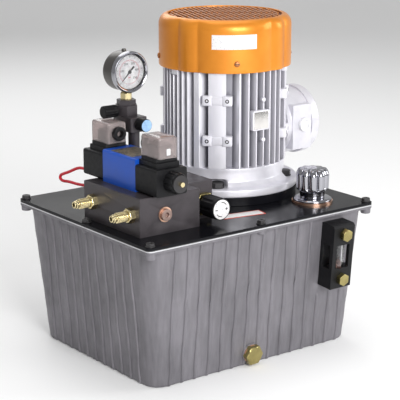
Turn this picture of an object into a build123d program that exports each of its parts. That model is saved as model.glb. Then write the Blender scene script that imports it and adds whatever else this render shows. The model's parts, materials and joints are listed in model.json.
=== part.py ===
from build123d import *
from math import atan, cos, degrees, pi, radians, sin, tan
import os

# Hydraulic power unit: cast oil tank, steel top plate, vertical flange motor driving a gear pump
# inside the tank, manifold with a solenoid valve, relief valve, gauge tower, breather, sight gauge.
# Millimetres. Origin: centre of the tank's base. +Z up, -Y is the long front side.

# ---- driving dimensions -------------------------------------------------------------------
RIM_L, RIM_W = 370.0, 304.0          # tank rim and top plate, along X and Y
RIM_CORNER = 6.5
TANK_H = 189.0
RIM_T = 5.0
WALL_INSET = 6.7                     # wall outside face, in from the rim edge
DRAFT = 15.3                         # how far each wall leans in over the tank's height
TANK_WALL, TANK_FLOOR = 5.0, 6.0
WALL_CORNER = 30.0
RIB_R, RIB_PITCH = 2.0, 20.0
GASKET_T, PLATE_T = 1.0, 3.0
PLATE_TOP = TANK_H + GASKET_T + PLATE_T
SCREW_INSET = 7.5                    # plate screws, in from the rim edges
MID_SHIFT = -5.0                     # the screws at mid side sit this far off the centre lines

MX, MY = 70.0, 26.0                  # motor axis
RING_R, RING_T = 99.0, 11.7
FLANGE_R, FLANGE_T = 100.0, 10.3
FLANGE_Z = PLATE_TOP + RING_T
BOLT_CIRCLE_R = 82.5
SPIGOT_R = 65.0
SKIRT_R = 82.0
FRAME_Z0, FRAME_Z1 = 240.0, 372.0
FRAME_R, FRAME_CORE_R, STATOR_R = 84.0, 71.0, 62.0
FIN_T, WIDE_RIB = 2.4, 8.0
WIDE_FINS = [11.5 * k for k in range(-3, 4)]     # fins on the -Y and +Y sides, across the side
CLOSE_FINS = [4.5 + 9.0 * k for k in range(-3, 3)]   # fins on the -X and +X sides
COWL_R, COWL_T = 89.7, 1.6
COWL_Z0, COWL_Z1 = 368.7, 437.6
COWL_TURN = -118.0                   # direction of the first cowl screw
SHAFT_R, JOURNAL_R, BEARING_R, BEARING_W = 9.5, 12.5, 26.0, 15.0
RUN = 0.03                           # radial running clearance
SHIELD_Z = 372.0

BOX_Z, BOX_R = 278.0, 46.0           # terminal box drum
BOX_X0, BOX_X1, COVER_X = 146.0, 188.0, 204.0

BLOCK_X0, BLOCK_X1 = -166.6, -74.6   # manifold
BLOCK_Y0, BLOCK_Y1 = -108.0, 17.0
BLOCK_TOP = 242.3
WING_X1, WING_Y0, WING_Y1 = -33.0, -80.0, -20.0
PORT_Y = (-91.0, -7.0)
PORT_Z = 219.0
PLUG_X, PLUG_Z = -129.0, 217.6

VALVE_X, VALVE_W = -127.0, 46.0      # directional valve, bore along Y
VALVE_Y0, VALVE_Y1 = -75.0, -3.0
VALVE_TOP, SPOOL_Z = 284.0, 261.5
COIL_L, COIL_Z0, COIL_Z1 = 45.5, 243.5, 277.5
TUBE_R, NUT_R, NUT_L = 11.0, 12.2, 15.5
STROKE = 3.0
SPRING_L = 8.4                       # centring springs, short of the spool by its stroke
DIN_W, DIN_L, DIN_Z0, DIN_Z1 = 28.0, 40.0, 289.0, 315.5

RELIEF_X, RELIEF_Z = -50.0, 213.5
KNOB_R, KNOB_Y0, KNOB_Y1 = 14.5, -121.0, -90.0

TOWER_X, TOWER_Y = -93.5, 8.5        # gauge tower column
STEM_Y = 25.0
BLOCK2_Z0, BLOCK2_Z1 = 299.0, 318.0
GAUGE_Z, GAUGE_R = 374.6, 27.0
GAUGE_FACE, GAUGE_BACK = 12.0, 44.0

BREATHER_X, BREATHER_Y, BREATHER_R, BREATHER_TOP = 121.0, -100.0, 22.8, 240.0
BREATHER_NECK, BREATHER_NECK_R = 10.0, 17.0
SIGHT_X, SIGHT_Z, SIGHT_W, SIGHT_D, SIGHT_H, SIGHT_PITCH = 118.0, 133.5, 36.0, 25.0, 88.0, 62.0
DRAIN_X, DRAIN_Z, DRAIN_AF, DRAIN_BOSS = -10.0, 15.6, 24.0, 2.5

GEAR_TEETH, GEAR_MODULE, GEAR_W = 12, 2.5, 20.0
GEAR_Z = 86.0
GEAR_PITCH_R = GEAR_TEETH * GEAR_MODULE / 2
GEAR_CENTRES = 2 * GEAR_PITCH_R + 0.2
PUMP_Z0, PUMP_Z1 = 66.0, 120.0
BELL_Z = 120.0                       # underside of the bell housing

LEAD_R = 2.0
LEAD_X = -147.0
LEAD_ROUTE = [                       # red lead, (y, z) in the plane x = LEAD_X
    (42.5, 249.0), (54.0, 249.0), (68.0, 244.2), (83.0, 237.4), (96.0, 232.6), (104.4, 229.2),
    (106.4, 224.2), (99.0, 221.8), (84.0, 224.2), (62.0, 224.6), (42.0, 227.0), (30.0, 227.4), (17.0, 227.4),
]

DRAFT_ANGLE = degrees(atan(DRAFT / TANK_H))
LOW = (Align.CENTER, Align.CENTER, Align.MIN)
DIAGONALS = (45, 135, 225, 315)


# ---- small helpers ------------------------------------------------------------------------
def block(x0, x1, y0, y1, z0, z1):
    """A plain box between two corners."""
    return Pos((x0 + x1) / 2, (y0 + y1) / 2, (z0 + z1) / 2) * Box(x1 - x0, y1 - y0, z1 - z0)


def rod(x, y, z0, z1, r):
    """A vertical cylinder."""
    return Pos(x, y, z0) * Cylinder(r, z1 - z0, align=LOW)


def rod_y(x, z, y0, y1, r):
    """A cylinder along Y."""
    return Pos(x, y0, z) * Rot(-90, 0, 0) * Cylinder(r, y1 - y0, align=LOW)


def rod_x(y, z, x0, x1, r):
    """A cylinder along X."""
    return Pos(x0, y, z) * Rot(0, 90, 0) * Cylinder(r, x1 - x0, align=LOW)


def hexagon(af, height):
    """A hexagonal prism standing on its base, measured across its flats."""
    return extrude(RegularPolygon(af / 2, 6, major_radius=False), height)


def at(radius, angle, x=MX, y=MY):
    """A point on a circle round the motor axis."""
    return x + radius * cos(radians(angle)), y + radius * sin(radians(angle))


def wall_y(z):
    """Outside face of the front wall at height z."""
    return -(RIM_W / 2 - WALL_INSET - DRAFT * (1 - z / TANK_H))


def on_front_wall(x, z):
    """Location on the front wall's face, leaning with it, local -Y pointing out."""
    return Pos(x, wall_y(z), z) * Rot(DRAFT_ANGLE, 0, 0)


def plate_screw_places():
    """The eight screws that hold the top plate: four corners and four mid sides."""
    x, y = RIM_L / 2 - SCREW_INSET, RIM_W / 2 - SCREW_INSET
    corners = [(sx * x, sy * y) for sx in (-1, 1) for sy in (-1, 1)]
    return corners, [(MID_SHIFT, -y), (MID_SHIFT, y), (-x, MID_SHIFT), (x, MID_SHIFT)]


def save(name, shape):
    """One STEP file for each sub-part."""
    export_step(shape, f"parts/{name}.step")


def group(*pieces):
    """Several separate solids in one node."""
    return Compound(children=list(pieces))


# ---- tank and plate -----------------------------------------------------------------------
def drafted(z0, z1, shrink, corner):
    """Solid between two rounded rectangles that follow the walls' lean, shrunk on each side."""
    faces = []
    for z in (z0, z1):
        lean = WALL_INSET + DRAFT * (1 - z / TANK_H) + shrink
        sketch = RectangleRounded(RIM_L - 2 * lean, RIM_W - 2 * lean, corner - 6 * (1 - z / TANK_H))
        faces.append(Pos(0, 0, z) * sketch)
    return loft(faces)


def wall_ribs():
    """Half-round ribs up the outside of each wall, leaning with it."""
    length = TANK_H - RIM_T + 1
    ribs = []
    rib = Rot(-DRAFT_ANGLE, 0, 0) * Cylinder(RIB_R, length, align=LOW)
    for turn, half, across in ((0, RIM_W / 2, RIM_L / 2), (90, RIM_L / 2, RIM_W / 2)):
        foot = half - WALL_INSET - DRAFT
        count = int((across - WALL_INSET - DRAFT - 14) / RIB_PITCH)
        for k in range(-count, count + 1):
            ribs.append(Rot(0, 0, turn) * Pos(k * RIB_PITCH, foot, 0) * rib)
            if turn or k * RIB_PITCH < SIGHT_X - SIGHT_W:      # smooth pad behind the sight gauge
                ribs.append(Rot(0, 0, turn + 180) * Pos(-k * RIB_PITCH, foot, 0) * rib)
    return ribs


def make_tank():
    rim = Pos(0, 0, TANK_H - RIM_T) * extrude(RectangleRounded(RIM_L, RIM_W, RIM_CORNER), RIM_T)
    body = drafted(0, TANK_H - 1, 0, WALL_CORNER)
    corners, mids = plate_screw_places()
    lugs = [rod(x, y, TANK_H - 12, TANK_H - 0.5, SCREW_INSET - 0.3) for x, y in corners]
    lugs += [rod(x, y, TANK_H - 10, TANK_H - 0.5, SCREW_INSET - 1) for x, y in mids]
    boss = on_front_wall(DRAIN_X, DRAIN_Z) * rod_y(0, 0, -DRAIN_BOSS, 3, 14)
    ribs = wall_ribs()
    tank = body.fuse(rim, boss, *lugs, *ribs)
    tank -= block(-RIM_L, RIM_L, -RIM_W, RIM_W, -20, 0)
    tank -= drafted(TANK_FLOOR, TANK_H, TANK_WALL, WALL_CORNER - TANK_WALL)
    tank -= [rod(x, y, TANK_H - 11, TANK_H, 2.6) for x, y in corners + mids]
    for dz in (-SIGHT_PITCH / 2, SIGHT_PITCH / 2):
        tank -= on_front_wall(SIGHT_X, SIGHT_Z) * rod_y(0, dz, -3, 12, 5.05)
    tank -= on_front_wall(DRAIN_X, DRAIN_Z) * rod_y(0, 0, -3, 12, 8.05)
    return tank


def make_gasket():
    ring = extrude(RectangleRounded(RIM_L, RIM_W, RIM_CORNER) - RectangleRounded(340, 274, 24), GASKET_T)
    corners, mids = plate_screw_places()
    ring -= [rod(x, y, -1, 3, 3.2) for x, y in corners + mids]
    return Pos(0, 0, TANK_H) * ring


def make_plate():
    plate = Pos(0, 0, PLATE_TOP - PLATE_T) * extrude(RectangleRounded(RIM_L, RIM_W, RIM_CORNER), PLATE_T)
    corners, mids = plate_screw_places()
    plate -= [rod(x, y, 180, 200, 3.2) for x, y in corners + mids]
    plate -= rod(MX, MY, 180, 200, SPIGOT_R - 1.5)
    plate -= rod(BREATHER_X, BREATHER_Y, 180, 200, 16)
    plate -= [rod(x, y, 180, 200, 6.5) for x, y in ((-100, -40), (-145, -50))]
    plate -= [rod(x, y, 180, 200, 4.5) for x, y in manifold_bolt_places()]
    return plate


def make_plate_screws():
    """Hex screws with a washer face."""
    corners, mids = plate_screw_places()
    screws = []
    for x, y in corners + mids:
        head = rod(x, y, PLATE_TOP, PLATE_TOP + 1.2, 6.3) + Pos(x, y, PLATE_TOP + 1) * hexagon(10, 4)
        screws.append(head + rod(x, y, TANK_H - 10, PLATE_TOP + 1, 2.5))
    return group(*screws)


# ---- motor --------------------------------------------------------------------------------
def bell_places():
    return [at(BOLT_CIRCLE_R, a) for a in DIAGONALS]


def make_bell_housing():
    """Black ring under the motor flange with the pump carrier tube hanging into the tank."""
    bell = rod(MX, MY, PLATE_TOP, FLANGE_Z, RING_R) + rod(MX, MY, BELL_Z, FLANGE_Z, SPIGOT_R - 2)
    bell -= rod(MX, MY, BELL_Z + 8, FLANGE_Z + 1, 55)
    bell -= rod(MX, MY, FLANGE_Z - 4, FLANGE_Z + 1, SPIGOT_R)
    bell -= rod(MX, MY, BELL_Z - 1, BELL_Z + 9, 12)
    bell -= [rod(x, y, PLATE_TOP - 1, FLANGE_Z + 1, 4.3) for x, y in bell_places()]
    return bell


def make_motor_flange():
    """Drive-end shield: bolting flange, spigot, skirt with pockets over the bolts, bearing seat."""
    top = FLANGE_Z + FLANGE_T
    shield = rod(MX, MY, FLANGE_Z, top, FLANGE_R) + rod(MX, MY, FLANGE_Z - 3.5, FLANGE_Z, SPIGOT_R - 0.05)
    shield = fillet(shield.faces().sort_by(Axis.Z)[-1].edges(), 1.5)
    shield += rod(MX, MY, top - 1, FRAME_Z0, SKIRT_R)
    shield -= rod(MX, MY, 227, FRAME_Z0 + 1, 66)
    shield -= rod(MX, MY, 212, 228, BEARING_R)
    shield -= rod(MX, MY, 190, 213, JOURNAL_R + 1)
    for x, y in bell_places():
        shield -= rod(x, y, top, FRAME_Z0 + 1, 12.5)
        shield -= rod(x, y, 190, 230, 5.3)
    return shield


def make_motor_bolts():
    bolts = []
    for x, y in bell_places():
        z = FLANGE_Z + FLANGE_T
        head = rod(x, y, z, z + 1.5, 10) + Pos(x, y, z + 1.4) * Rot(0, 0, 20) * hexagon(17, 6.4)
        bolts.append(head + rod(x, y, PLATE_TOP + 1, z + 1, 4.25))
    return group(*bolts)


def frame_section():
    """Section of the finned frame: core tube, parallel fins on four sides, smooth diagonal bands."""
    sketch = Circle(FRAME_CORE_R)
    for turn, fins in ((0, WIDE_FINS), (90, CLOSE_FINS), (180, WIDE_FINS), (270, CLOSE_FINS)):
        for x in fins:
            sketch += Rot(0, 0, turn) * Pos(x, -FRAME_R + 16) * Rectangle(FIN_T, 34)
        if fins is CLOSE_FINS:
            for x in (-36, 36):
                sketch += Rot(0, 0, turn) * Pos(x, -FRAME_R + 22) * Rectangle(WIDE_RIB, 34)
    for turn in DIAGONALS:
        sketch += Rot(0, 0, turn) * Pos(FRAME_R - 14, 0) * Rectangle(24, 27)
    sketch &= Circle(FRAME_R)
    return sketch - Circle(STATOR_R)


def make_motor_frame():
    frame = extrude(frame_section(), FRAME_Z1 - FRAME_Z0)
    for turn in DIAGONALS:
        for z in (278 - FRAME_Z0, 332 - FRAME_Z0):
            pad = Pos(FRAME_R - 3, 0, z) * Box(9, 38, 12)
            pad += [Pos(FRAME_R - 4, s * 13.5, z) * Box(11, 13, 14) for s in (-1, 1)]
            hole = Rot(0, 90, 0) * Cylinder(2.6, 20, align=LOW)
            pad -= [Pos(FRAME_R - 6, s * 13.5, z) * hole for s in (-1, 1)]
            frame += Rot(0, 0, turn) * pad
    frame += Pos(-6, -FRAME_R + 1, 304 - FRAME_Z0) * Box(28, 8, 26)
    frame += Pos(FRAME_R - 8, 0, BOX_Z - FRAME_Z0) * Box(14, 52, 56)
    frame &= Pos(0, 0, 0) * Cylinder(FRAME_R + 2.4, 200, align=LOW)
    frame -= Cylinder(STATOR_R, 400)
    return Pos(MX, MY, FRAME_Z0) * frame


def make_stator():
    core = rod(MX, MY, 262, 342, STATOR_R) - rod(MX, MY, 200, 400, 39.2)
    ends = [rod(MX, MY, z0, z1, 58) - rod(MX, MY, 200, 400, 43) for z0, z1 in ((246, 262), (342, 358))]
    return group(core, *ends)


def make_rotor_core():
    return rod(MX, MY, 264, 340, 38.5) - rod(MX, MY, 200, 400, 14)


def make_motor_shaft():
    shaft = rod(MX, MY, 162, 213, SHAFT_R) + rod(MX, MY, 212, 386, JOURNAL_R)
    return shaft + rod(MX, MY, 228, 371, 14) + rod(MX, MY, 386, 412, 10)


def make_motor_bearings():
    rings = []
    for z in (212.0, SHIELD_Z):
        ring = rod(MX, MY, z, z + BEARING_W, BEARING_R) - rod(MX, MY, z - 1, z + 20, JOURNAL_R + RUN)
        rings.append(ring)
    return group(*rings)


def make_rear_shield():
    shield = rod(MX, MY, SHIELD_Z, 390, 40) + rod(MX, MY, SHIELD_Z, 378, 81)
    for k in range(4):
        lug = Pos(81, 0, 9) * Box(8, 16, 18)
        shield += Pos(MX, MY, SHIELD_Z) * Rot(0, 0, COWL_TURN + 90 * k) * lug
    shield -= rod(MX, MY, SHIELD_Z - 1, SHIELD_Z + BEARING_W, BEARING_R)
    shield -= rod(MX, MY, SHIELD_Z, 400, JOURNAL_R + 1)
    for k in range(4):
        hole = Pos(60, 0, 9.5) * Rot(0, 90, 0) * Cylinder(2.1, 40, align=LOW)
        shield -= Pos(MX, MY, SHIELD_Z) * Rot(0, 0, COWL_TURN + 90 * k) * hole
    return shield


def make_fan():
    fan = rod(MX, MY, 394, 396, 70) + rod(MX, MY, 394, 411, 16)
    for k in range(8):
        fan += Pos(MX, MY, 395) * Rot(0, 0, 45 * k) * Pos(42, 0, 9) * Box(56, 2, 18)
    return fan - rod(MX, MY, 390, 420, 10)


def make_cowl():
    """Round fan cowl with a rolled shoulder and swept air slots in its top."""
    outer = rod(MX, MY, COWL_Z0, COWL_Z1, COWL_R)
    outer = fillet(outer.faces().sort_by(Axis.Z)[-1].edges(), 14)
    inner = rod(MX, MY, COWL_Z0 - 5, COWL_Z1 - COWL_T, COWL_R - COWL_T)
    inner = fillet(inner.faces().sort_by(Axis.Z)[-1].edges(), 14 - COWL_T)
    cowl = outer - inner
    for k in range(18):
        slot = Pos(46, 0, 0) * Rot(0, 0, 35) * Box(44, 4.6, 12)
        cowl -= Pos(MX, MY, COWL_Z1) * Rot(0, 0, 20 * k) * slot
    for k in range(4):
        hole = Pos(60, 0, SHIELD_Z + 9.5) * Rot(0, 90, 0) * Cylinder(2.2, 40, align=LOW)
        cowl -= Pos(MX, MY, 0) * Rot(0, 0, COWL_TURN + 90 * k) * hole
    return cowl


def make_cover_screws():
    """Pan-head screws of the fan cowl and of the terminal cover."""
    pan = Cylinder(3.8, 2.4, align=LOW) + Pos(0, 0, -9.5) * Cylinder(2.0, 10, align=LOW)
    pan -= Pos(0, 0, 2) * Box(6, 1, 1.6)
    screws = []
    for k in range(4):
        spot = Pos(MX, MY, SHIELD_Z + 9.5) * Rot(0, 0, COWL_TURN + 90 * k) * Pos(COWL_R + 0.1, 0, 0)
        screws.append(spot * Rot(0, 90, 0) * pan)
    for a in DIAGONALS:
        y, z = MY + 39.5 * cos(radians(a)), BOX_Z + 39.5 * sin(radians(a))
        screws.append(Pos(COVER_X, y, z) * Rot(0, 90, 0) * pan)
    return group(*screws)


def make_terminal_box():
    """Round terminal box drum against the frame, with a flat pad for the cable entry."""
    drum = rod_x(MY, BOX_Z, BOX_X0, BOX_X1, BOX_R) + block(153, 186, MY - 48, MY, 245, 307)
    drum -= rod(MX, MY, 200, 360, FRAME_R + 2.6)
    drum -= rod_x(MY, BOX_Z, 164, BOX_X1 + 1, BOX_R - 13)
    for a in DIAGONALS:
        drum -= rod_x(MY + 39.5 * cos(radians(a)), BOX_Z + 39.5 * sin(radians(a)), 178, 189, 2.1)
    drum -= rod_y(172, 279, MY - 60, MY - 20, 7.05)
    return drum


def make_terminal_cover():
    cover = rod_x(MY, BOX_Z, BOX_X1, COVER_X, BOX_R + 2.5)
    cover = fillet(cover.faces().sort_by(Axis.X)[-1].edges(), 6)
    cover -= rod_x(MY, BOX_Z, BOX_X1 - 1, COVER_X - 4, BOX_R - 13)
    for a in DIAGONALS:
        cover -= rod_x(MY + 39.5 * cos(radians(a)), BOX_Z + 39.5 * sin(radians(a)), 180, 210, 2.2)
    return cover


def make_cable_plug():
    """Blanking plug in the terminal box's cable entry."""
    y = MY - 48
    plug = rod_y(172, 279, y - 5, y, 9.5) + rod_y(172, 279, y, y + 12, 7)
    return plug - rod_y(172, 279, y - 6, y - 3.5, 6.5)


# ---- coupling, pump and pipes -------------------------------------------------------------
def jaw(start, z0, z1):
    """One coupling jaw: a 50 degree sector of a ring."""
    corners = [(9, -3.9), (22, -9.6), (22, 9.6), (9, 3.9)]
    sector = extrude(make_face(Polyline(*corners, close=True)), z1 - z0) & Cylinder(22, 60)
    return Pos(MX, MY, z0) * Rot(0, 0, start) * sector


def make_coupling():
    """Two hubs with three jaws each, and the star between them."""
    upper = rod(MX, MY, 162, 184, 22) - rod(MX, MY, 150, 190, SHAFT_R)
    lower = rod(MX, MY, 132, 153, 22) - rod(MX, MY, 120, 153, 8)
    star = rod(MX, MY, 154, 161, 21) - rod(MX, MY, 150, 170, 5)
    for k in range(3):
        upper += jaw(120 * k, 154, 162)
        lower += jaw(120 * k + 60, 153, 161)
        star -= jaw(120 * k, 150, 165)
        star -= jaw(120 * k + 60, 150, 165)
    return group(upper, lower, star)


def gear_section(turn):
    """Twelve straight-flanked teeth, thinned for backlash."""
    root, tip = GEAR_PITCH_R - 1.25 * GEAR_MODULE, GEAR_PITCH_R + 0.85 * GEAR_MODULE
    points = []
    for k in range(GEAR_TEETH):
        for radius, swing in ((root, -9.5), (tip, -3.2), (tip, 3.2), (root, 9.5)):
            angle = radians(360 / GEAR_TEETH * k + swing + turn)
            points.append((radius * cos(angle), radius * sin(angle)))
    return make_face(Polyline(*points, close=True))


def make_drive_gear():
    gear = Pos(MX, MY, GEAR_Z) * extrude(gear_section(0), GEAR_W)
    return gear + rod(MX, MY, 78, 153, 8)


def make_driven_gear():
    y = MY - GEAR_CENTRES
    return Pos(MX, y, GEAR_Z) * extrude(gear_section(360 / GEAR_TEETH / 2), GEAR_W) + rod(MX, y, 78, 114, 8)


def make_pump_body():
    """Gear pump housing, with its shaft bores and the gear chamber."""
    y = MY - GEAR_CENTRES
    body = block(MX - 34, MX + 34, y - 32, MY + 32, PUMP_Z0, PUMP_Z1)
    body = fillet(body.edges().filter_by(Axis.Z), 12)
    tip = GEAR_PITCH_R + 0.85 * GEAR_MODULE + 0.15
    for yy in (MY, y):
        body -= rod(MX, yy, GEAR_Z - 0.1, GEAR_Z + GEAR_W + 0.1, tip)
    body -= rod(MX, MY, 77, PUMP_Z1 + 1, 8 + RUN)
    body -= rod(MX, y, 77, 115, 8 + RUN)
    mid = MY - GEAR_CENTRES / 2
    body -= rod_x(mid, GEAR_Z + GEAR_W / 2, MX - 40, MX - 5, 4)
    body -= rod(MX + 12, mid, 60, GEAR_Z + GEAR_W / 2, 4)
    return body


def make_oil_pipes():
    """Pressure pipe from pump to manifold, and the return pipe down into the oil."""
    y, z = MY - GEAR_CENTRES / 2, GEAR_Z + GEAR_W / 2
    corners = [(MX - 34, y, z), (-100, y, z), (-100, -40, z + 30), (-100, -40, PLATE_TOP)]
    path = FilletPolyline(*corners, radius=22)
    pressure = sweep(Plane(path @ 0, z_dir=path % 0) * Circle(5.5), path=path)
    pressure -= sweep(Plane(path @ 0, z_dir=path % 0) * Circle(4.0), path=path)
    back = rod(-145, -50, 30, PLATE_TOP, 5.5) - rod(-145, -50, 20, PLATE_TOP + 1, 4.0)
    return group(pressure, back)


def make_strainer():
    """Suction strainer on its neck under the pump."""
    x, y = MX + 12, MY - GEAR_CENTRES / 2
    body = rod(x, y, 12, 50, 27) + rod(x, y, 50, PUMP_Z0, 9)
    for k in range(6):
        body -= rod(x, y, 16 + 5 * k, 18.5 + 5 * k, 30) - rod(x, y, 10, 60, 25.5)
    return body - rod(x, y, 20, 70, 4)


# ---- manifold -----------------------------------------------------------------------------
def manifold_bolt_places():
    return [(BLOCK_X0 + 10, BLOCK_Y0 + 10), (BLOCK_X0 + 10, BLOCK_Y1 - 10),
            (BLOCK_X1 - 10, BLOCK_Y0 + 10), (BLOCK_X1 - 10, BLOCK_Y1 - 22)]


def make_manifold():
    """Drilled steel block with a side wing that carries the relief valve."""
    body = block(BLOCK_X0, BLOCK_X1, BLOCK_Y0, BLOCK_Y1, PLATE_TOP, BLOCK_TOP)
    body += block(BLOCK_X1 - 1, WING_X1, WING_Y0, WING_Y1, PLATE_TOP, BLOCK_TOP)
    body = chamfer(body.edges().filter_by(Axis.Z), 0.8)
    body = chamfer(body.faces().sort_by(Axis.Z)[-1].edges(), 0.8)
    body -= [rod_x(y, PORT_Z, BLOCK_X0 - 1, BLOCK_X0 + 14, 6.05) for y in PORT_Y]
    body -= [rod_x(y, PORT_Z, BLOCK_X0, -140, 3) for y in PORT_Y]
    body -= rod_y(PLUG_X, PLUG_Z, BLOCK_Y0 - 1, BLOCK_Y0 + 11, 7.05)
    body -= rod_y(RELIEF_X, RELIEF_Z, WING_Y0 - 1, WING_Y0 + 34, 10.05)
    body -= rod(TOWER_X, TOWER_Y, BLOCK_TOP - 10, BLOCK_TOP + 1, 5.05)
    body -= [rod(VALVE_X + dx, -39 + dy, BLOCK_TOP - 14, BLOCK_TOP + 1, 3.2)
             for dx, dy in ((0, -10.5), (0, 10.5), (-10, 0), (10, 0))]
    body -= [rod(x, y, PLATE_TOP - 1, PLATE_TOP + 12, 3.55) for x, y in manifold_bolt_places()]
    body -= [rod(x, y, PLATE_TOP - 1, PLATE_TOP + 10, 4) for x, y in ((-100, -40), (-145, -50))]
    return body


def make_manifold_bolts():
    """Screws from under the plate."""
    bolts = []
    for x, y in manifold_bolt_places():
        under = PLATE_TOP - PLATE_T
        bolts.append(Pos(x, y, under - 5.3) * hexagon(13, 5.3) + rod(x, y, under - 1, PLATE_TOP + 11, 3.5))
    return group(*bolts)


def make_port_fittings():
    """Two male hose fittings: hexagon, barrel, stepped nose."""
    fittings = []
    for y in PORT_Y:
        x = BLOCK_X0
        body = Pos(x, y, PORT_Z) * Rot(0, -90, 0) * hexagon(17, 8.5)
        body += rod_x(y, PORT_Z, x - 24, x, 6.58) + rod_x(y, PORT_Z, x - 31, x, 4.6)
        body += rod_x(y, PORT_Z, x - 27.5, x - 25.5, 5.6) + rod_x(y, PORT_Z, x, x + 12, 6)
        fittings.append(body - rod_x(y, PORT_Z, x - 40, x + 20, 2.6))
    return group(*fittings)


def make_block_plug():
    """Socket plug in the front of the manifold."""
    y = BLOCK_Y0 - 1.5
    plug = rod_y(PLUG_X, PLUG_Z, y - 3.6, y, 7.6) + rod_y(PLUG_X, PLUG_Z, y, y + 11, 7)
    socket = Pos(PLUG_X, y - 4, PLUG_Z) * Rot(-90, 0, 0) * hexagon(6, 4)
    return plug - socket


def make_washers():
    """Copper sealing washers of the manifold plug and of the drain plug."""
    upper = rod_y(PLUG_X, PLUG_Z, BLOCK_Y0 - 1.5, BLOCK_Y0, 9.6) - rod_y(PLUG_X, PLUG_Z, -120, -90, 7.1)
    lower = rod_y(0, 0, -DRAIN_BOSS - 2, -DRAIN_BOSS, 12.5) - rod_y(0, 0, -20, 20, 8.1)
    return group(upper, on_front_wall(DRAIN_X, DRAIN_Z) * lower)


# ---- directional valve --------------------------------------------------------------------
def make_valve_body():
    x0, x1 = VALVE_X - VALVE_W / 2, VALVE_X + VALVE_W / 2
    body = block(x0, x1, VALVE_Y0, VALVE_Y1, BLOCK_TOP, VALVE_TOP)
    body = fillet(body.faces().sort_by(Axis.Z)[-1].edges().filter_by(Axis.Y), 3)
    body -= rod_y(VALVE_X, SPOOL_Z, VALVE_Y0 - 1, VALVE_Y1 + 1, 8 + RUN)
    body -= [rod_y(VALVE_X, SPOOL_Z, y - 3, y + 3, 11) for y in (-55, -39, -23)]
    for sign, y in ((-1, VALVE_Y0), (1, VALVE_Y1)):
        inner = y - sign * 9
        body -= rod_y(VALVE_X, SPOOL_Z, min(inner, y + sign), max(inner, y + sign), TUBE_R + 0.05)
    body -= [rod(VALVE_X + dx, -39 + dy, BLOCK_TOP - 1, BLOCK_TOP + 12, 3.2)
             for dx, dy in ((0, -10.5), (0, 10.5), (-10, 0), (10, 0))]
    return body


def make_spool():
    """Spool with four lands, and the two armatures that push it."""
    spool = rod_y(VALVE_X, SPOOL_Z, -60, -18, 4.5)
    for y in (-58, -46, -32, -20):
        spool += rod_y(VALVE_X, SPOOL_Z, y - 4, y + 4, 8)
    front = rod_y(VALVE_X, SPOOL_Z, -108, -80, 7.5) + rod_y(VALVE_X, SPOOL_Z, -81, -62, 2.5)
    rear = rod_y(VALVE_X, SPOOL_Z, 2, 30, 7.5) + rod_y(VALVE_X, SPOOL_Z, -16, 3, 2.5)
    return group(spool, front, rear)


def make_spool_springs():
    """Centring springs, one against each end of the spool."""
    springs = []
    for y in (VALVE_Y0 + 0.4, VALVE_Y1 - SPRING_L - 0.7):
        path = Helix(pitch=SPRING_L / 3, height=SPRING_L, radius=5.2)
        coil = sweep(Plane(path @ 0, z_dir=path % 0) * Circle(0.6), path=path, is_frenet=True)
        springs.append(Pos(VALVE_X, y, SPOOL_Z) * Rot(-90, 0, 0) * coil)
    return group(*springs)


def coil_spans():
    return ((VALVE_Y0 - COIL_L, VALVE_Y0, -1), (VALVE_Y1, VALVE_Y1 + COIL_L, 1))


def make_coils():
    """Moulded solenoid coils with the pedestal and terminal insert for the plug."""
    coils = []
    for y0, y1, sign in coil_spans():
        x0, x1 = VALVE_X - VALVE_W / 2, VALVE_X + VALVE_W / 2
        coil = block(x0, x1, y0, y1, COIL_Z0, COIL_Z1)
        coil = fillet(coil.edges().filter_by(Axis.Y), 3)
        mid = din_mid(sign)
        coil += block(VALVE_X - 17, VALVE_X + 17, mid - 19, mid + 19, COIL_Z1 - 1, 284)
        coil += block(VALVE_X - 15.5, VALVE_X + 15.5, mid - 16, mid + 16, 283, DIN_Z0)
        coil += block(VALVE_X - 10, VALVE_X + 10, mid - 13, mid + 9, 288, 304)
        coil -= rod_y(VALVE_X, SPOOL_Z, y0 - 1, y1 + 1, TUBE_R + 0.05)
        coils.append(coil)
    return group(*coils)


def din_mid(sign):
    """Middle of the plug along Y, over each coil."""
    return -94.0 if sign < 0 else 16.5


def make_armature_tubes():
    tubes = []
    for y0, y1, sign in coil_spans():
        inner = VALVE_Y0 + 8.9 if sign < 0 else VALVE_Y1 - 8.9
        outer = y0 - NUT_L - 3 if sign < 0 else y1 + NUT_L + 3
        a, b = sorted((inner, outer))
        tube = rod_y(VALVE_X, SPOOL_Z, a, b, TUBE_R)
        tube -= rod_y(VALVE_X, SPOOL_Z, a - 1, b + 1, 3.03)
        c, d = sorted((inner - sign * 1, outer - sign * 9))
        tubes.append(tube - rod_y(VALVE_X, SPOOL_Z, c, d, 8 + RUN))
    return group(*tubes)


def make_coil_nuts():
    """Round nuts that clamp the coils on their tubes."""
    nuts = []
    for y0, y1, sign in coil_spans():
        a, b = (y0 - NUT_L, y0) if sign < 0 else (y1, y1 + NUT_L)
        nut = rod_y(VALVE_X, SPOOL_Z, a, b, NUT_R + 1.3)
        nut -= rod_y(VALVE_X, SPOOL_Z, a - 1, b + 1, TUBE_R + 0.05)
        for k in range(12):
            angle = radians(30 * k)
            nut -= rod_y(VALVE_X + 14.2 * cos(angle), SPOOL_Z + 14.2 * sin(angle), a - 1, b + 1, 1.4)
        nuts.append(nut)
    return group(*nuts)


def make_override_pin(sign):
    """Brass pin through the end of the armature tube, pushed in by hand."""
    end = VALVE_Y0 - COIL_L - NUT_L - 3 if sign < 0 else VALVE_Y1 + COIL_L + NUT_L + 3
    inner = end - sign * 13
    a, b = sorted((inner, end + sign * (STROKE + 1)))
    pin = rod_y(VALVE_X, SPOOL_Z, a, b, 3)
    c, d = sorted((inner, inner + sign * 2))
    return pin + rod_y(VALVE_X, SPOOL_Z, c, d, 5)


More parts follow.
